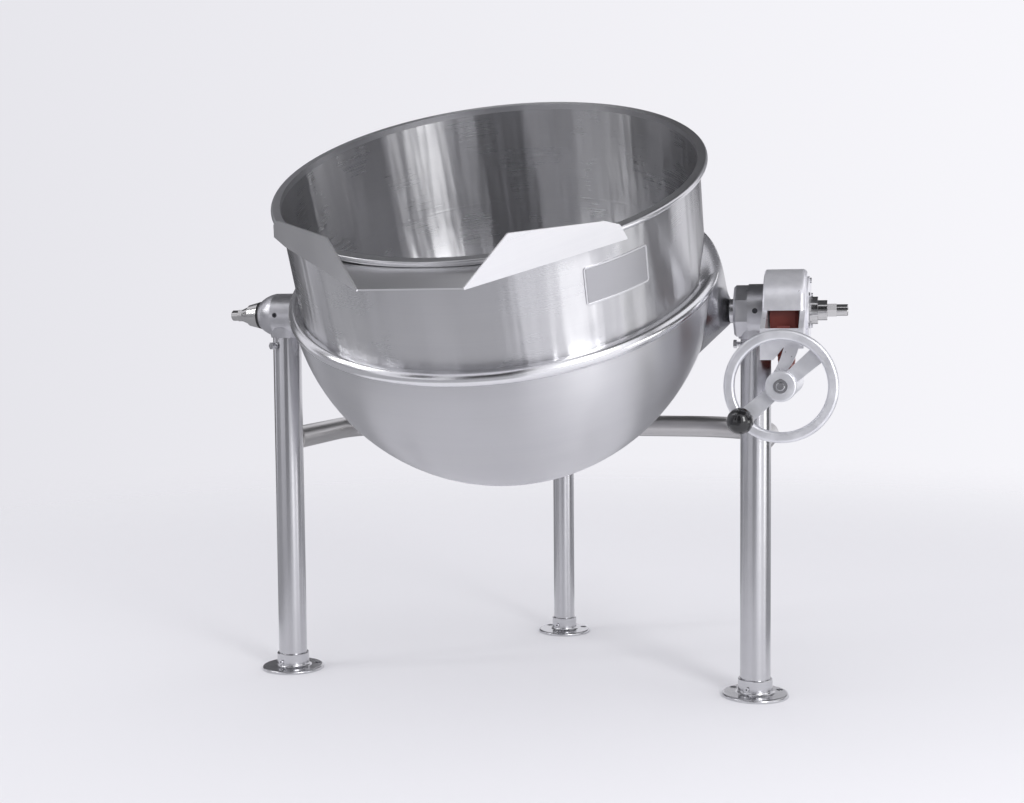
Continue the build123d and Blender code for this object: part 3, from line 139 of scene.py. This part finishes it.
# ---- Floor ----
# A smooth pale painted floor. It fades into the sweep a few metres out, so no horizon line shows, and it
# keeps the soft shadows of the feet.
def new_finish(name):
    """A material with its node tree and its shader."""
    finish = bpy.data.materials.new(name)
    finish.use_nodes = True
    return finish, finish.node_tree, finish.node_tree.nodes["Principled BSDF"]


def stage_piece(name, form, finish, only_in_steel=False):
    """Turns a bmesh into a thing of the studio, which may be seen only in the steel."""
    data = bpy.data.meshes.new(name)
    form.to_mesh(data)
    form.free()
    data.materials.append(finish)
    thing = bpy.data.objects.new(name, data)
    if only_in_steel:
        thing.visible_camera = False
        thing.visible_shadow = False
        thing.visible_diffuse = False
    bpy.context.scene.collection.objects.link(thing)


floor_reach = 14.0
floor_fade_start, floor_fade_end = 0.9, 3.6
floor_finish, floor_tree, floor_shader = new_finish("floor_sweep")
floor_shader.inputs["Base Color"].default_value = (0.87, 0.865, 0.895, 1.0)
floor_shader.inputs["Roughness"].default_value = 0.85
floor_shader.inputs["Specular IOR Level"].default_value = 0.1
floor_place = floor_tree.nodes.new("ShaderNodeTexCoord").outputs["Object"]
floor_run = vector_step(floor_tree, "LENGTH", floor_place)
floor_mix = floor_tree.nodes.new("ShaderNodeMixShader")
floor_clear = floor_tree.nodes.new("ShaderNodeBsdfTransparent")
floor_fade = ramp(floor_tree, floor_run, floor_fade_start, floor_fade_end)
floor_tree.links.new(floor_fade, floor_mix.inputs["Fac"])
floor_tree.links.new(floor_shader.outputs["BSDF"], floor_mix.inputs[1])
floor_tree.links.new(floor_clear.outputs["BSDF"], floor_mix.inputs[2])
floor_tree.links.new(floor_mix.outputs["Shader"], floor_tree.nodes["Material Output"].inputs["Surface"])
floor_form = bmesh.new()
bmesh.ops.create_circle(floor_form, cap_ends=True, segments=96, radius=floor_reach)
stage_piece("floor", floor_form, floor_finish)


# ---- Lamps and flags ----
# Soft boxes that draw the bright upright streaks in the steel, and dark felt flags between and above them
# that draw the dark ones. The flags are seen only in the steel.
def soft_box(name, place, aim, width, height, power):
    """A rectangular lamp that shines from its place at its aim."""
    lamp = bpy.data.lights.new(name, "AREA")
    lamp.shape = "RECTANGLE"
    lamp.size = width
    lamp.size_y = height
    lamp.energy = power
    lamp_object = bpy.data.objects.new(name, lamp)
    lamp_object.location = place
    lamp_object.rotation_euler = (Vector(aim) - Vector(place)).to_track_quat("-Z", "Y").to_euler()
    lamp_object.visible_camera = False
    bpy.context.scene.collection.objects.link(lamp_object)


def felt(name, tone):
    """Dull felt with no gloss at all."""
    finish, _, shader = new_finish(name + "_felt")
    shader.inputs["Base Color"].default_value = (*tone, 1.0)
    shader.inputs["Roughness"].default_value = 1.0
    shader.inputs["Specular IOR Level"].default_value = 0.0
    return finish


def flag(name, place, aim, width, height, shade):
    """A felt panel, faintly blue, that faces its aim."""
    panel = bmesh.new()
    bmesh.ops.create_grid(panel, x_segments=1, y_segments=1, size=0.5)
    turn = (Vector(aim) - Vector(place)).to_track_quat("Z", "Y").to_matrix().to_4x4()
    bmesh.ops.scale(panel, vec=(width, height, 1.0), verts=panel.verts)
    bmesh.ops.transform(panel, matrix=Matrix.Translation(place) @ turn, verts=panel.verts)
    stage_piece(name, panel, felt(name, (shade, shade, shade * 1.04)), only_in_steel=True)


kettle_y = -0.42
kettle_middle = (0.0, kettle_y, 0.72)
soft_box("key_box", (2.25, -2.65, 1.6), kettle_middle, 0.8, 2.0, 36.0)
lip_wing = (0.25, -0.75, 0.77)
soft_box("wing_box", (2.5, -0.7, 0.35), lip_wing, 0.9, 0.6, 3.2)
flag("ceiling_flag", (0.0, 0.6, 4.4), (0.0, 0.6, 0.0), 6.5, 6.0, 0.08)
flag("left_back_flag", (-3.0, 2.2, 1.6), kettle_middle, 3.4, 4.0, 0.12)
flag("left_flag", (-3.4, -1.6, 0.4), kettle_middle, 2.6, 2.6, 0.34)
flag("front_flag", (0.2, -5.0, 1.4), kettle_middle, 2.6, 4.4, 0.22)
flag("right_flag", (3.7, 0.3, 0.5), kettle_middle, 2.6, 2.8, 0.08)
bowl_mouth = (0.0, kettle_y, 1.2)
flag("back_flag", (0.6, 3.0, 2.9), bowl_mouth, 2.2, 3.4, 0.05)


def round_kettle(round_from_front, reach, height):
    """A place round the kettle, by its angle from the front."""
    turn = radians(round_from_front)
    return (reach * sin(turn), kettle_y - reach * cos(turn), height)


strip_reach, strip_middle, strip_height = 3.0, 2.6, 3.2
for strip_name, round_from_front, strip_width, strip_shade in (
    ("front_strip", 3.0, 1.3, 0.02),
    ("left_front_strip", -28.0, 0.70, 0.05),
    ("left_strip", -81.0, 0.45, 0.05),
    ("left_back_strip", -140.0, 1.6, 0.16),
    ("right_strip", 77.0, 0.45, 0.12),
    ("right_back_strip", 150.0, 1.8, 0.22),
):
    strip_place = round_kettle(round_from_front, strip_reach, strip_middle)
    flag(strip_name, strip_place, (0.0, kettle_y, strip_middle), strip_width, strip_height, strip_shade)
line_reach, line_middle, line_width, line_height = 3.2, 2.4, 0.12, 2.2
for line_name, round_from_front, line_power in (
    ("left_line_box", -58.0, 7.0),
    ("far_left_line_box", -71.0, 9.0),
):
    line_place = round_kettle(round_from_front, line_reach, line_middle)
    soft_box(line_name, line_place, bowl_mouth, line_width, line_height, line_power)

# ---- Floor card ----
# Grey felt that lies round the kettle outside the feet, with a gap at the front right. It is an open ring,
# and only the steel sees it.
card_inside, card_width = 0.78, 3.4
card_start, card_sweep = radians(-66.0), radians(-292.0)
card_middle = (0.0, -0.46, 0.004)
card = bmesh.new()
card_edge = card.verts.new((card_inside, 0.0, 0.0))
card_run = bmesh.ops.extrude_vert_indiv(card, verts=[card_edge])
bmesh.ops.translate(card, vec=(card_width, 0.0, 0.0), verts=card_run["verts"])
bmesh.ops.spin(
    card, geom=card.verts[:] + card.edges[:], cent=(0, 0, 0), axis=(0, 0, 1), angle=card_sweep, steps=48
)
bmesh.ops.rotate(card, cent=(0, 0, 0), matrix=Matrix.Rotation(card_start, 3, "Z"), verts=card.verts)
bmesh.ops.translate(card, vec=card_middle, verts=card.verts)
stage_piece("floor_card", card, felt("floor_card", (0.40, 0.40, 0.415)), only_in_steel=True)


# ---- Feet ----
# Turned stainless flanges, each with a collar that the leg stands in, three anchor holes and a set screw.
# The lathe leaves fine rings on the flange and the collar.
def placed(tree, turn=(0.0, 0.0, 0.0), middle=(0.0, 0.0, 0.0)):
    """Object coordinates measured from a middle and then turned."""
    coordinates = tree.nodes.new("ShaderNodeTexCoord").outputs["Object"]
    mapping = tree.nodes.new("ShaderNodeMapping")
    mapping.inputs["Rotation"].default_value = turn
    tree.links.new(vector_step(tree, "SUBTRACT", coordinates, middle), mapping.inputs["Vector"])
    return mapping.outputs["Vector"]


def noise(tree, place, scale, detail, roughness=0.5, distortion=0.0):
    """Soft cloudy pattern from 0 to 1."""
    texture = tree.nodes.new("ShaderNodeTexNoise")
    feed(tree, scale, texture.inputs["Scale"])
    texture.inputs["Detail"].default_value = detail
    texture.inputs["Roughness"].default_value = roughness
    texture.inputs["Distortion"].default_value = distortion
    tree.links.new(place, texture.inputs["Vector"])
    return texture.outputs["Fac"]


def effect_group(name, settings, results):
    """A node group that takes a place and some settings and puts out some masks."""
    group = bpy.data.node_groups.new(name, "ShaderNodeTree")
    group.interface.new_socket(name="Place", in_out="INPUT", socket_type="NodeSocketVector")
    for label, start in settings.items():
        socket = group.interface.new_socket(name=label, in_out="INPUT", socket_type="NodeSocketFloat")
        socket.default_value = start
    for label in results:
        group.interface.new_socket(name=label, in_out="OUTPUT", socket_type="NodeSocketFloat")
    return group, group.nodes.new("NodeGroupInput").outputs, group.nodes.new("NodeGroupOutput").inputs


brushed_lines, lines_in, lines_out = effect_group(
    "brushed_lines", {"Along": 6.0, "Across": 900.0}, ("Lines", "Bands")
)
lines_scale = brushed_lines.nodes.new("ShaderNodeCombineXYZ")
brushed_lines.links.new(lines_in["Along"], lines_scale.inputs["X"])
brushed_lines.links.new(lines_in["Along"], lines_scale.inputs["Y"])
brushed_lines.links.new(lines_in["Across"], lines_scale.inputs["Z"])
lines_place = vector_step(brushed_lines, "MULTIPLY", lines_in["Place"], lines_scale.outputs["Vector"])
fine_lines = noise(brushed_lines, lines_place, scale=1.0, detail=3.0, roughness=0.62)
wide_lines = noise(brushed_lines, lines_place, scale=0.045, detail=2.0)
brushed_lines.links.new(fine_lines, lines_out["Lines"])
brushed_lines.links.new(wide_lines, lines_out["Bands"])

handling_marks, marks_in, marks_out = effect_group("handling_marks", {"Size": 9.0}, ("Smudge",))
smudge = noise(handling_marks, marks_in["Place"], marks_in["Size"], detail=4.0, distortion=0.6)
handling_marks.links.new(ramp(handling_marks, smudge, 0.35, 0.68), marks_out["Smudge"])


def effect(tree, group, place, **settings):
    """Puts a shared effect into a finish with its own settings."""
    node = tree.nodes.new("ShaderNodeGroup")
    node.node_tree = group
    tree.links.new(place, node.inputs["Place"])
    for label, value in settings.items():
        node.inputs[label].default_value = value
    return node.outputs


def varied(tree, base, shares):
    """The base value, moved up and down by each mask's share."""
    total = base - 0.5 * sum(share for _, share in shares)
    for mask, share in shares:
        total = number_step(tree, "MULTIPLY_ADD", mask, share, total)
    return total


def tinted(tone, tint):
    """A tone made darker or brighter, as a full colour."""
    return (*(min(1.0, part * times) for part, times in zip(tone, tint)), 1.0)


def raised(tree, height, distance):
    """Adds a bump on top of those that the finish already has."""
    normal = tree.nodes["Principled BSDF"].inputs["Normal"]
    bump = tree.nodes.new("ShaderNodeBump")
    bump.inputs["Distance"].default_value = distance
    tree.links.new(height, bump.inputs["Height"])
    if normal.is_linked:
        tree.links.new(normal.links[0].from_socket, bump.inputs["Normal"])
    tree.links.new(bump.outputs["Normal"], normal)


def brushed_steel(
    name, tone, rough, place=placed, along=6.0, lines=900.0, depth=0.00001, streak=0.0, turn_place=None
):
    """Metal brushed in lines that lie across the place's Z. Streak is its anisotropy."""
    finish, tree, shader = new_finish(name)
    shader.inputs["Metallic"].default_value = 1.0
    where = place(tree)
    grain = effect(tree, brushed_lines, where, Along=along, Across=lines)
    marks = effect(tree, handling_marks, where)
    shade = varied(tree, 0.5, ((grain["Lines"], 0.6), (grain["Bands"], 0.5), (marks["Smudge"], 0.2)))
    dark_line, bright_line = tinted(tone, (0.94, 0.94, 0.95)), tinted(tone, (1.04, 1.04, 1.03))
    tree.links.new(colour_between(tree, shade, dark_line, bright_line), shader.inputs["Base Color"])
    roughness = varied(tree, rough, ((grain["Lines"], 0.05), (marks["Smudge"], 0.03)))
    tree.links.new(roughness, shader.inputs["Roughness"])
    raised(tree, grain["Lines"], depth)
    if streak:
        quarter_turn = 0.25
        shader.inputs["Anisotropic"].default_value = streak
        shader.inputs["Anisotropic Rotation"].default_value = quarter_turn
        tree.links.new(turn_place(tree), shader.inputs["Tangent"])
    return finish


def dress(finish, *names):
    """Gives CAD nodes their finish in place of the plain one."""
    for name in names:
        for material_slot in nodes[name].material_slots:
            material_slot.material = finish


foot_steel = brushed_steel("foot_steel", (0.62, 0.62, 0.64), 0.24, along=40.0, lines=2600.0)
dress(foot_steel, "left_foot", "right_foot", "rear_foot")


# ---- Anchor hole lips ----
# A fine rounded lip of the same steel round each of the nine anchor holes, raised by the drill and polished
# bright with the flange. The rear foot's holes lie on a smaller circle.
def thin_ring(tube_middle, tube_start, tube_steps, ring_steps):
    """A closed ring about Z, its tube spun about the tube's middle from a start point."""
    ring = bmesh.new()
    start = ring.verts.new(tube_start)
    bmesh.ops.spin(
        ring, geom=[start], cent=tube_middle, axis=(0, 1, 0), angle=2 * pi, steps=tube_steps, use_merge=True
    )
    section = ring.verts[:] + ring.edges[:]
    bmesh.ops.spin(
        ring, geom=section, cent=(0, 0, 0), axis=(0, 0, 1), angle=2 * pi, steps=ring_steps, use_merge=True
    )
    bmesh.ops.remove_doubles(ring, verts=ring.verts, dist=0.00002)
    bmesh.ops.recalc_face_normals(ring, faces=ring.faces)
    return ring


def gather(whole, part):
    """Moves the form of one part into the whole."""
    part_data = bpy.data.meshes.new("gathered_part")
    part.to_mesh(part_data)
    part.free()
    whole.from_mesh(part_data)
    bpy.data.meshes.remove(part_data)


def finished_piece(name, form, finish, body):
    """Turns a bmesh into an object that sits at the origin and rides on a body."""
    for face in form.faces:
        face.smooth = True
    data = bpy.data.meshes.new(name)
    form.to_mesh(data)
    form.free()
    data.materials.append(finish)
    piece = bpy.data.objects.new(name, data)
    bpy.context.scene.collection.objects.link(piece)
    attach(piece, body)


leg_x, leg_y = 0.421, -0.401
front_circle, rear_circle = 0.045, 0.0405
lip_middle, lip_start = (0.0059, 0.0, 0.0059), (0.0061, 0.0, 0.0061)
hole_steel = brushed_steel("hole_edge_steel", (0.70, 0.70, 0.72), 0.18, along=300.0, lines=300.0)
hole_lips = bmesh.new()
for foot_x, foot_y, hole_circle in (
    (-leg_x, leg_y, front_circle),
    (leg_x, leg_y, front_circle),
    (0.0, 0.0, rear_circle),
):
    for hole_turn in (radians(30.0), radians(150.0), radians(270.0)):
        lip = thin_ring(lip_middle, lip_start, tube_steps=8, ring_steps=32)
        hole_place = (foot_x + hole_circle * cos(hole_turn), foot_y + hole_circle * sin(hole_turn), 0.0)
        bmesh.ops.translate(lip, vec=hole_place, verts=lip.verts)
        gather(hole_lips, lip)
finished_piece("anchor_hole_edges", hole_lips, hole_steel, "stand")


# ---- Legs ----
# Three uprights of stainless tube that stand in the feet. They are ground round and round on a belt, so
# each shows one long upright highlight.
def turn_round(axis, middle):
    """Makes the tangent that runs round an axis through a middle."""

    def tangent(tree):
        way = vector_step(tree, "CROSS_PRODUCT", axis, placed(tree, middle=middle))
        to_world = tree.nodes.new("ShaderNodeVectorTransform")
        to_world.vector_type = "VECTOR"
        to_world.convert_from = "OBJECT"
        to_world.convert_to = "WORLD"
        tree.links.new(way, to_world.inputs["Vector"])
        return to_world.outputs["Vector"]

    return tangent


for leg, leg_middle in (
    ("left_leg", (-leg_x, leg_y, 0.0)),
    ("right_leg", (leg_x, leg_y, 0.0)),
    ("rear_leg", (0.0, 0.0, 0.0)),
):
    leg_steel = brushed_steel(
        leg + "_steel",
        (0.60, 0.60, 0.62),
        0.24,
        along=14.0,
        lines=1500.0,
        streak=0.7,
        turn_place=turn_round((0.0, 0.0, 1.0), leg_middle),
    )
    dress(leg_steel, leg)

# ---- Brace ----
# One bent stainless tube that ties the legs together behind the bowl. It is welded to the backs of the
# front legs and to the top of the rear leg, and has their belt ground finish.
brace_steel = brushed_steel("brace_steel", (0.58, 0.57, 0.57), 0.30, along=900.0, lines=60.0)
dress(brace_steel, "brace_tube")

# ---- Weld beads of the stand ----
# A bead of stainless weld round each end of the brace, where it meets the back of a front leg. It is
# brushed back but still rippled, and it follows the curve of the leg.
brace_height, leg_back = 0.422, 0.0262
bead_middle, bead_start = (0.0206, 0.0, 0.0), (0.0228, 0.0, 0.0)
bead_dip, bead_ripple, ripples_round = 0.0058, 0.012, 31.0
weld_steel = brushed_steel("weld_steel", (0.52, 0.51, 0.50), 0.30, along=500.0, lines=700.0, depth=0.0002)
brace_welds = bmesh.new()
for weld_x in (-leg_x, leg_x):
    bead = thin_ring(bead_middle, bead_start, tube_steps=10, ring_steps=72)
    bmesh.ops.rotate(bead, cent=(0, 0, 0), matrix=Matrix.Rotation(pi / 2, 3, "X"), verts=bead.verts)
    for vert in bead.verts:
        run = atan2(vert.co.x, vert.co.z)
        vert.co.y -= bead_dip * sin(run) ** 2
        vert.co *= 1.0 + bead_ripple * sin(run * ripples_round)
    bmesh.ops.translate(bead, vec=(weld_x, leg_y + leg_back, brace_height), verts=bead.verts)
    gather(brace_welds, bead)
finished_piece("brace_weld_beads", brace_welds, weld_steel, "stand")

# ---- Bearing housings ----
# Investment cast stainless housings that sit on the two front legs, blasted to a fine even matt. Handling
# has left them a little brighter in places.
cast_pits, pits_in, pits_out = effect_group("cast_pits", {"Grain": 900.0}, ("Pits", "Mottle"))
pit_cells = cast_pits.nodes.new("ShaderNodeTexVoronoi")
cast_pits.links.new(pits_in["Place"], pit_cells.inputs["Vector"])
cast_pits.links.new(pits_in["Grain"], pit_cells.inputs["Scale"])
cast_pits.links.new(pit_cells.outputs["Distance"], pits_out["Pits"])
cast_pits.links.new(noise(cast_pits, pits_in["Place"], scale=70.0, detail=5.0), pits_out["Mottle"])


def pitted(name, grain, depth, marks_size, tones, shade_shares, rough, rough_shares):
    """A finish of fine pits with no direction. Each pair of shares is for the mottle and the smudges."""
    finish, tree, shader = new_finish(name)
    where = placed(tree)
    pits = effect(tree, cast_pits, where, Grain=grain)
    marks = effect(tree, handling_marks, where, Size=marks_size)
    masks = (pits["Mottle"], marks["Smudge"])
    shade = varied(tree, 0.5, tuple(zip(masks, shade_shares)))
    tree.links.new(colour_between(tree, shade, *tones), shader.inputs["Base Color"])
    tree.links.new(varied(tree, rough, tuple(zip(masks, rough_shares))), shader.inputs["Roughness"])
    raised(tree, pits["Pits"], depth)
    return finish, shader


def cast_metal(name, tone, rough, grain=1100.0, depth=0.00006, metallic=1.0):
    """Blasted or sand cast metal with a soft mottle."""
    tones = tinted(tone, (0.86, 0.86, 0.87)), tinted(tone, (1.10, 1.10, 1.09))
    finish, shader = pitted(
        name, grain, depth, marks_size=24.0, tones=tones, shade_shares=(0.8, 0.35),
        rough=rough, rough_shares=(0.14, 0.08),
    )
    shader.inputs["Metallic"].default_value = metallic
    return finish


housing_steel = cast_metal("housing_steel", (0.62, 0.62, 0.645), 0.34)
dress(housing_steel, "left_bearing_housing", "right_bearing_housing")

# ---- Bushes, seals and grease plugs ----
# Turned bronze bushes pressed into the housings, moulded black rubber rings at the shaft ends, and dark
# oiled steel plugs screwed in on top.
bush_bronze = brushed_steel("bush_bronze", (0.62, 0.44, 0.20), 0.28, along=500.0, lines=120.0)
dress(bush_bronze, "left_bush", "right_bush", "worm_front_bush")


def moulded(name, tone, rough, coat=0.0, depth=0.00003):
    """Rubber, moulded plastic or packing: a colour that varies a little, with a fine moulded skin."""
    tones = tinted(tone, (0.8, 0.8, 0.8)), tinted(tone, (1.25, 1.25, 1.25))
    finish, shader = pitted(
        name, 1400.0, depth, marks_size=40.0, tones=tones, shade_shares=(0.7, 0.4),
        rough=rough, rough_shares=(0.08, 0.12),
    )
    shader.inputs["Coat Weight"].default_value = coat
    shader.inputs["Coat Roughness"].default_value = 0.06
    return finish


seal_rubber = moulded("seal_rubber", (0.022, 0.022, 0.024), 0.55)
dress(seal_rubber, "left_shaft_seal", "right_shaft_seal", "left_end_seal")
plug_steel = cast_metal("plug_steel", (0.10, 0.10, 0.11), 0.42, grain=2200.0)
dress(plug_steel, "grease_plugs")

# ---- Screws and bolts ----
# Bright stainless fasteners with turned heads: the set screws of the feet, the bolts of the housings, the
# screws of the gear case, and the bolt, washer and stud of the handwheel.
fastener_steel = brushed_steel("fastener_steel", (0.66, 0.66, 0.68), 0.20, along=700.0, lines=260.0)
dress(
    fastener_steel,
    "foot_set_screws",
    "leg_set_bolts",
    "case_screws",
    "side_plate_screws",
    "hub_bolt",
    "hub_washer",
    "knob_stud",
)

# ---- Bowl ----
# One polished skin of stainless sheet: a spun round bottom with a straight wall, welded along a seam. The
# polish runs round the bowl, so lights stretch into upright streaks, and the wall's rolled flats bend them.
kettle_tilt = radians(26.29)
bowl_radius = 0.343
bowl_up = Vector((0.0, -sin(kettle_tilt), cos(kettle_tilt)))
bowl_back = Vector((0.0, cos(kettle_tilt), sin(kettle_tilt)))
trunnion_middle = Vector((0.0, leg_y, 0.648))
bowl_ahead, seam_above = 0.025, 0.0864
bowl_axis_start = trunnion_middle - bowl_back * bowl_ahead
dome_middle = bowl_axis_start + bowl_up * seam_above
bowl_turn = turn_round(bowl_up, dome_middle)


def upright_place(tree):
    """Coordinates that stand upright with the bowl, measured from the seam's middle."""
    return placed(tree, turn=(-kettle_tilt, 0.0, 0.0), middle=dome_middle)


def bowl_place(tree):
    """Place on the bowl's skin: X and Y go round it, and Z runs up the wall or down the round bottom."""
    split = tree.nodes.new("ShaderNodeSeparateXYZ")
    tree.links.new(upright_place(tree), split.inputs["Vector"])
    height = split.outputs["Z"]
    flat = tree.nodes.new("ShaderNodeCombineXYZ")
    tree.links.new(split.outputs["X"], flat.inputs["X"])
    tree.links.new(split.outputs["Y"], flat.inputs["Y"])
    outward = vector_step(tree, "NORMALIZE", flat.outputs["Vector"])
    round_way = vector_step(tree, "MULTIPLY", outward, (bowl_radius, bowl_radius, bowl_radius))
    reach = vector_step(tree, "LENGTH", flat.outputs["Vector"])
    polar = number_step(tree, "ARCTAN2", reach, number_step(tree, "MULTIPLY", height, -1.0))
    dome_part = number_step(tree, "MINIMUM", number_step(tree, "SUBTRACT", polar, pi / 2), 0.0)
    wall_part = number_step(tree, "MAXIMUM", height, 0.0)
    run = tree.nodes.new("ShaderNodeCombineXYZ")
    tree.links.new(number_step(tree, "MULTIPLY_ADD", dome_part, bowl_radius, wall_part), run.inputs["Z"])
    return vector_step(tree, "ADD", round_way, run.outputs["Vector"])


bowl_steel = brushed_steel(
    "bowl_steel",
    (0.64, 0.64, 0.655),
    0.29,
    place=bowl_place,
    along=1.6,
    lines=900.0,
    depth=0.000002,
    streak=1.0,
    turn_place=bowl_turn,
)
dress(bowl_steel, "inner_shell")
bowl_nodes = bowl_steel.node_tree
bowl_run = bowl_place(bowl_nodes)
bowl_run_split = bowl_nodes.nodes.new("ShaderNodeSeparateXYZ")
bowl_nodes.links.new(bowl_run, bowl_run_split.inputs["Vector"])
from_seam = number_step(bowl_nodes, "ABSOLUTE", bowl_run_split.outputs["Z"])
seam_width, seam_height = 0.0035, 0.0002
raised(bowl_nodes, ramp(bowl_nodes, from_seam, 0.0, seam_width, low=1.0, high=0.0), seam_height)
flats_stretch, flats_height = (24.0, 24.0, 2.2), 0.0036
flats_place = vector_step(bowl_nodes, "MULTIPLY", bowl_run, flats_stretch)
raised(bowl_nodes, noise(bowl_nodes, flats_place, scale=1.0, detail=1.6), flats_height)
dents_near, dents_far, dents_height = 0.01, 0.09, 0.0016
dents = noise(bowl_nodes, placed(bowl_nodes), scale=17.0, detail=1.0)
dents_share = ramp(bowl_nodes, from_seam, dents_near, dents_far, low=1.0, high=0.12)
raised(bowl_nodes, number_step(bowl_nodes, "MULTIPLY", dents, dents_share), dents_height)

# ---- Rim ----
# Round stainless bar, rolled to a ring and welded to the top of the wall. It is polished flush, with the
# grain running round it.
rim_steel = brushed_steel(
    "rim_steel",
    (0.84, 0.84, 0.86),
    0.30,
    place=bowl_place,
    along=3.0,
    lines=600.0,
    streak=0.3,
    turn_place=bowl_turn,
)
dress(rim_steel, "rim_ring")

# ---- Jacket and its ring ----
# The outer round bottom, spun from stainless sheet and ground to a satin. A rounded, polished ring closes
# it to the wall and is welded to both.
jacket_steel = brushed_steel(
    "jacket_steel",
    (0.67, 0.67, 0.69),
    0.38,
    place=bowl_place,
    along=1.6,
    lines=700.0,
    streak=0.9,
    turn_place=bowl_turn,
)
dress(jacket_steel, "jacket")
ring_steel = brushed_steel(
    "ring_steel",
    (0.84, 0.84, 0.86),
    0.22,
    place=bowl_place,
    along=3.0,
    lines=600.0,
    streak=0.2,
    turn_place=bowl_turn,
)
dress(ring_steel, "jacket_ring")

# ---- Pouring lip ----
# Stainless sheet folded to a spout with two wings and welded to the rim. It has a bright satin, grained
# along its length.
lip_steel = brushed_steel(
    "lip_steel", (0.90, 0.90, 0.91), 0.30, place=upright_place, along=9.0, lines=900.0
)
dress(lip_steel, "pouring_lip")

# ---- Saddles, trunnions and the tube inside ----
# Pressed stainless cones welded to jacket and wall, with turned trunnions through them, a collar and two
# keys of the same bar, and a bent copper tube that drains the jacket.
saddle_steel = brushed_steel("saddle_steel", (0.54, 0.54, 0.56), 0.27, along=60.0, lines=420.0)
dress(saddle_steel, "left_saddle", "right_saddle")
trunnion_steel = brushed_steel("trunnion_steel", (0.60, 0.60, 0.62), 0.22, along=900.0, lines=200.0)
dress(trunnion_steel, "left_trunnion", "right_trunnion", "gear_collar", "gear_key", "wheel_key")
tube_copper = brushed_steel("tube_copper", (0.70, 0.38, 0.24), 0.30, along=200.0, lines=300.0)
dress(tube_copper, "condensate_tube")

# ---- Nameplate ----
# A bare satin aluminium plate with no lettering, bent to the wall and fixed flat to it. A bright border
# stands a little above its middle.
plate_aluminium = brushed_steel("plate_aluminium", (0.50, 0.50, 0.52), 0.42, along=30.0, lines=1600.0)
dress(plate_aluminium, "nameplate")
plate_half_width, plate_half_height, border_width = 0.058, 0.030, 0.0032
border_rise_width, border_height, border_corner = 0.0010, 0.0006, 0.002
plate_nodes = plate_aluminium.node_tree
plate_round = radians(46.5)
plate_out = Vector((sin(plate_round), 0.0, 0.0)) - bowl_back * cos(plate_round)
plate_above = 0.189
plate_middle = bowl_axis_start + bowl_up * plate_above
plate_local = placed(plate_nodes, middle=plate_middle)
past_edges = []
for plate_way, plate_half in ((plate_out.cross(bowl_up), plate_half_width), (bowl_up, plate_half_height)):
    plate_run = vector_step(plate_nodes, "DOT_PRODUCT", plate_local, plate_way)
    plate_reach = number_step(plate_nodes, "ABSOLUTE", plate_run)
    past_edges.append(number_step(plate_nodes, "SUBTRACT", plate_reach, plate_half - border_width))
past_border = number_step(plate_nodes, "SMOOTH_MAX", *past_edges, border_corner)
border = ramp(plate_nodes, past_border, 0.0, border_rise_width)
plate_colour = plate_nodes.nodes["Principled BSDF"].inputs["Base Color"]
middle_colour = plate_colour.links[0].from_socket
border_colour = colour_between(plate_nodes, border, middle_colour, (0.78, 0.78, 0.80, 1.0))
plate_nodes.links.new(border_colour, plate_colour)
raised(plate_nodes, border, border_height)

# ---- Gear case ----
# Hood, guard and worm barrel cast in one of stainless steel and ground, with a turned side plate screwed to
# it and a turned end cap.
case_steel = cast_metal("case_steel", (0.86, 0.86, 0.90), 0.33, grain=1500.0, depth=0.00003, metallic=0.6)
dress(case_steel, "gear_case", "side_plate", "worm_end_cap")

# ---- Sector gear ----
# A toothed sector of cast iron, keyed to the right trunnion. It is painted with a red oxide primer, and the
# sand casting's coarse skin shows through.
gear_primer = cast_metal(
    "gear_primer", (0.20, 0.045, 0.035), 0.50, grain=900.0, depth=0.00015, metallic=0.0
)
dress(gear_primer, "sector_gear")

# ---- Worm ----
# Worm and shaft cut from one steel bar, which runs in the barrel under the hood and turns the sector. A
# film of grease darkens it.
worm_steel = brushed_steel("worm_steel", (0.42, 0.41, 0.39), 0.24, along=900.0, lines=500.0)
dress(worm_steel, "worm_shaft")

# ---- Handwheel and knob ----
# A cast aluminium wheel, turned on its rim and hub and bolted to the worm's shaft, with a glossy black
# moulded ball on a stud.
wheel_aluminium = cast_metal(
    "wheel_aluminium", (0.80, 0.805, 0.84), 0.38, grain=1700.0, depth=0.00003, metallic=0.75
)
dress(wheel_aluminium, "handwheel")
knob_plastic = moulded("knob_plastic", (0.010, 0.010, 0.011), 0.16, coat=0.6, depth=0.000005)
dress(knob_plastic, "ball_knob")

# ---- Steam swivels ----
# Turned and polished steel joints on the ends of the trunnions, each with a gland, white packing rings
# inside and a nipple for a hose, which turns freely.
swivel_steel = brushed_steel("swivel_steel", (0.66, 0.655, 0.65), 0.17, along=900.0, lines=240.0)
dress(
    swivel_steel,
    "left_swivel_body",
    "right_swivel_body",
    "left_swivel_gland",
    "right_swivel_gland",
    "left_nipple",
    "right_nipple",
)
packing_polymer = moulded("packing_polymer", (0.72, 0.71, 0.66), 0.45)
dress(packing_polymer, "left_packing", "right_packing")
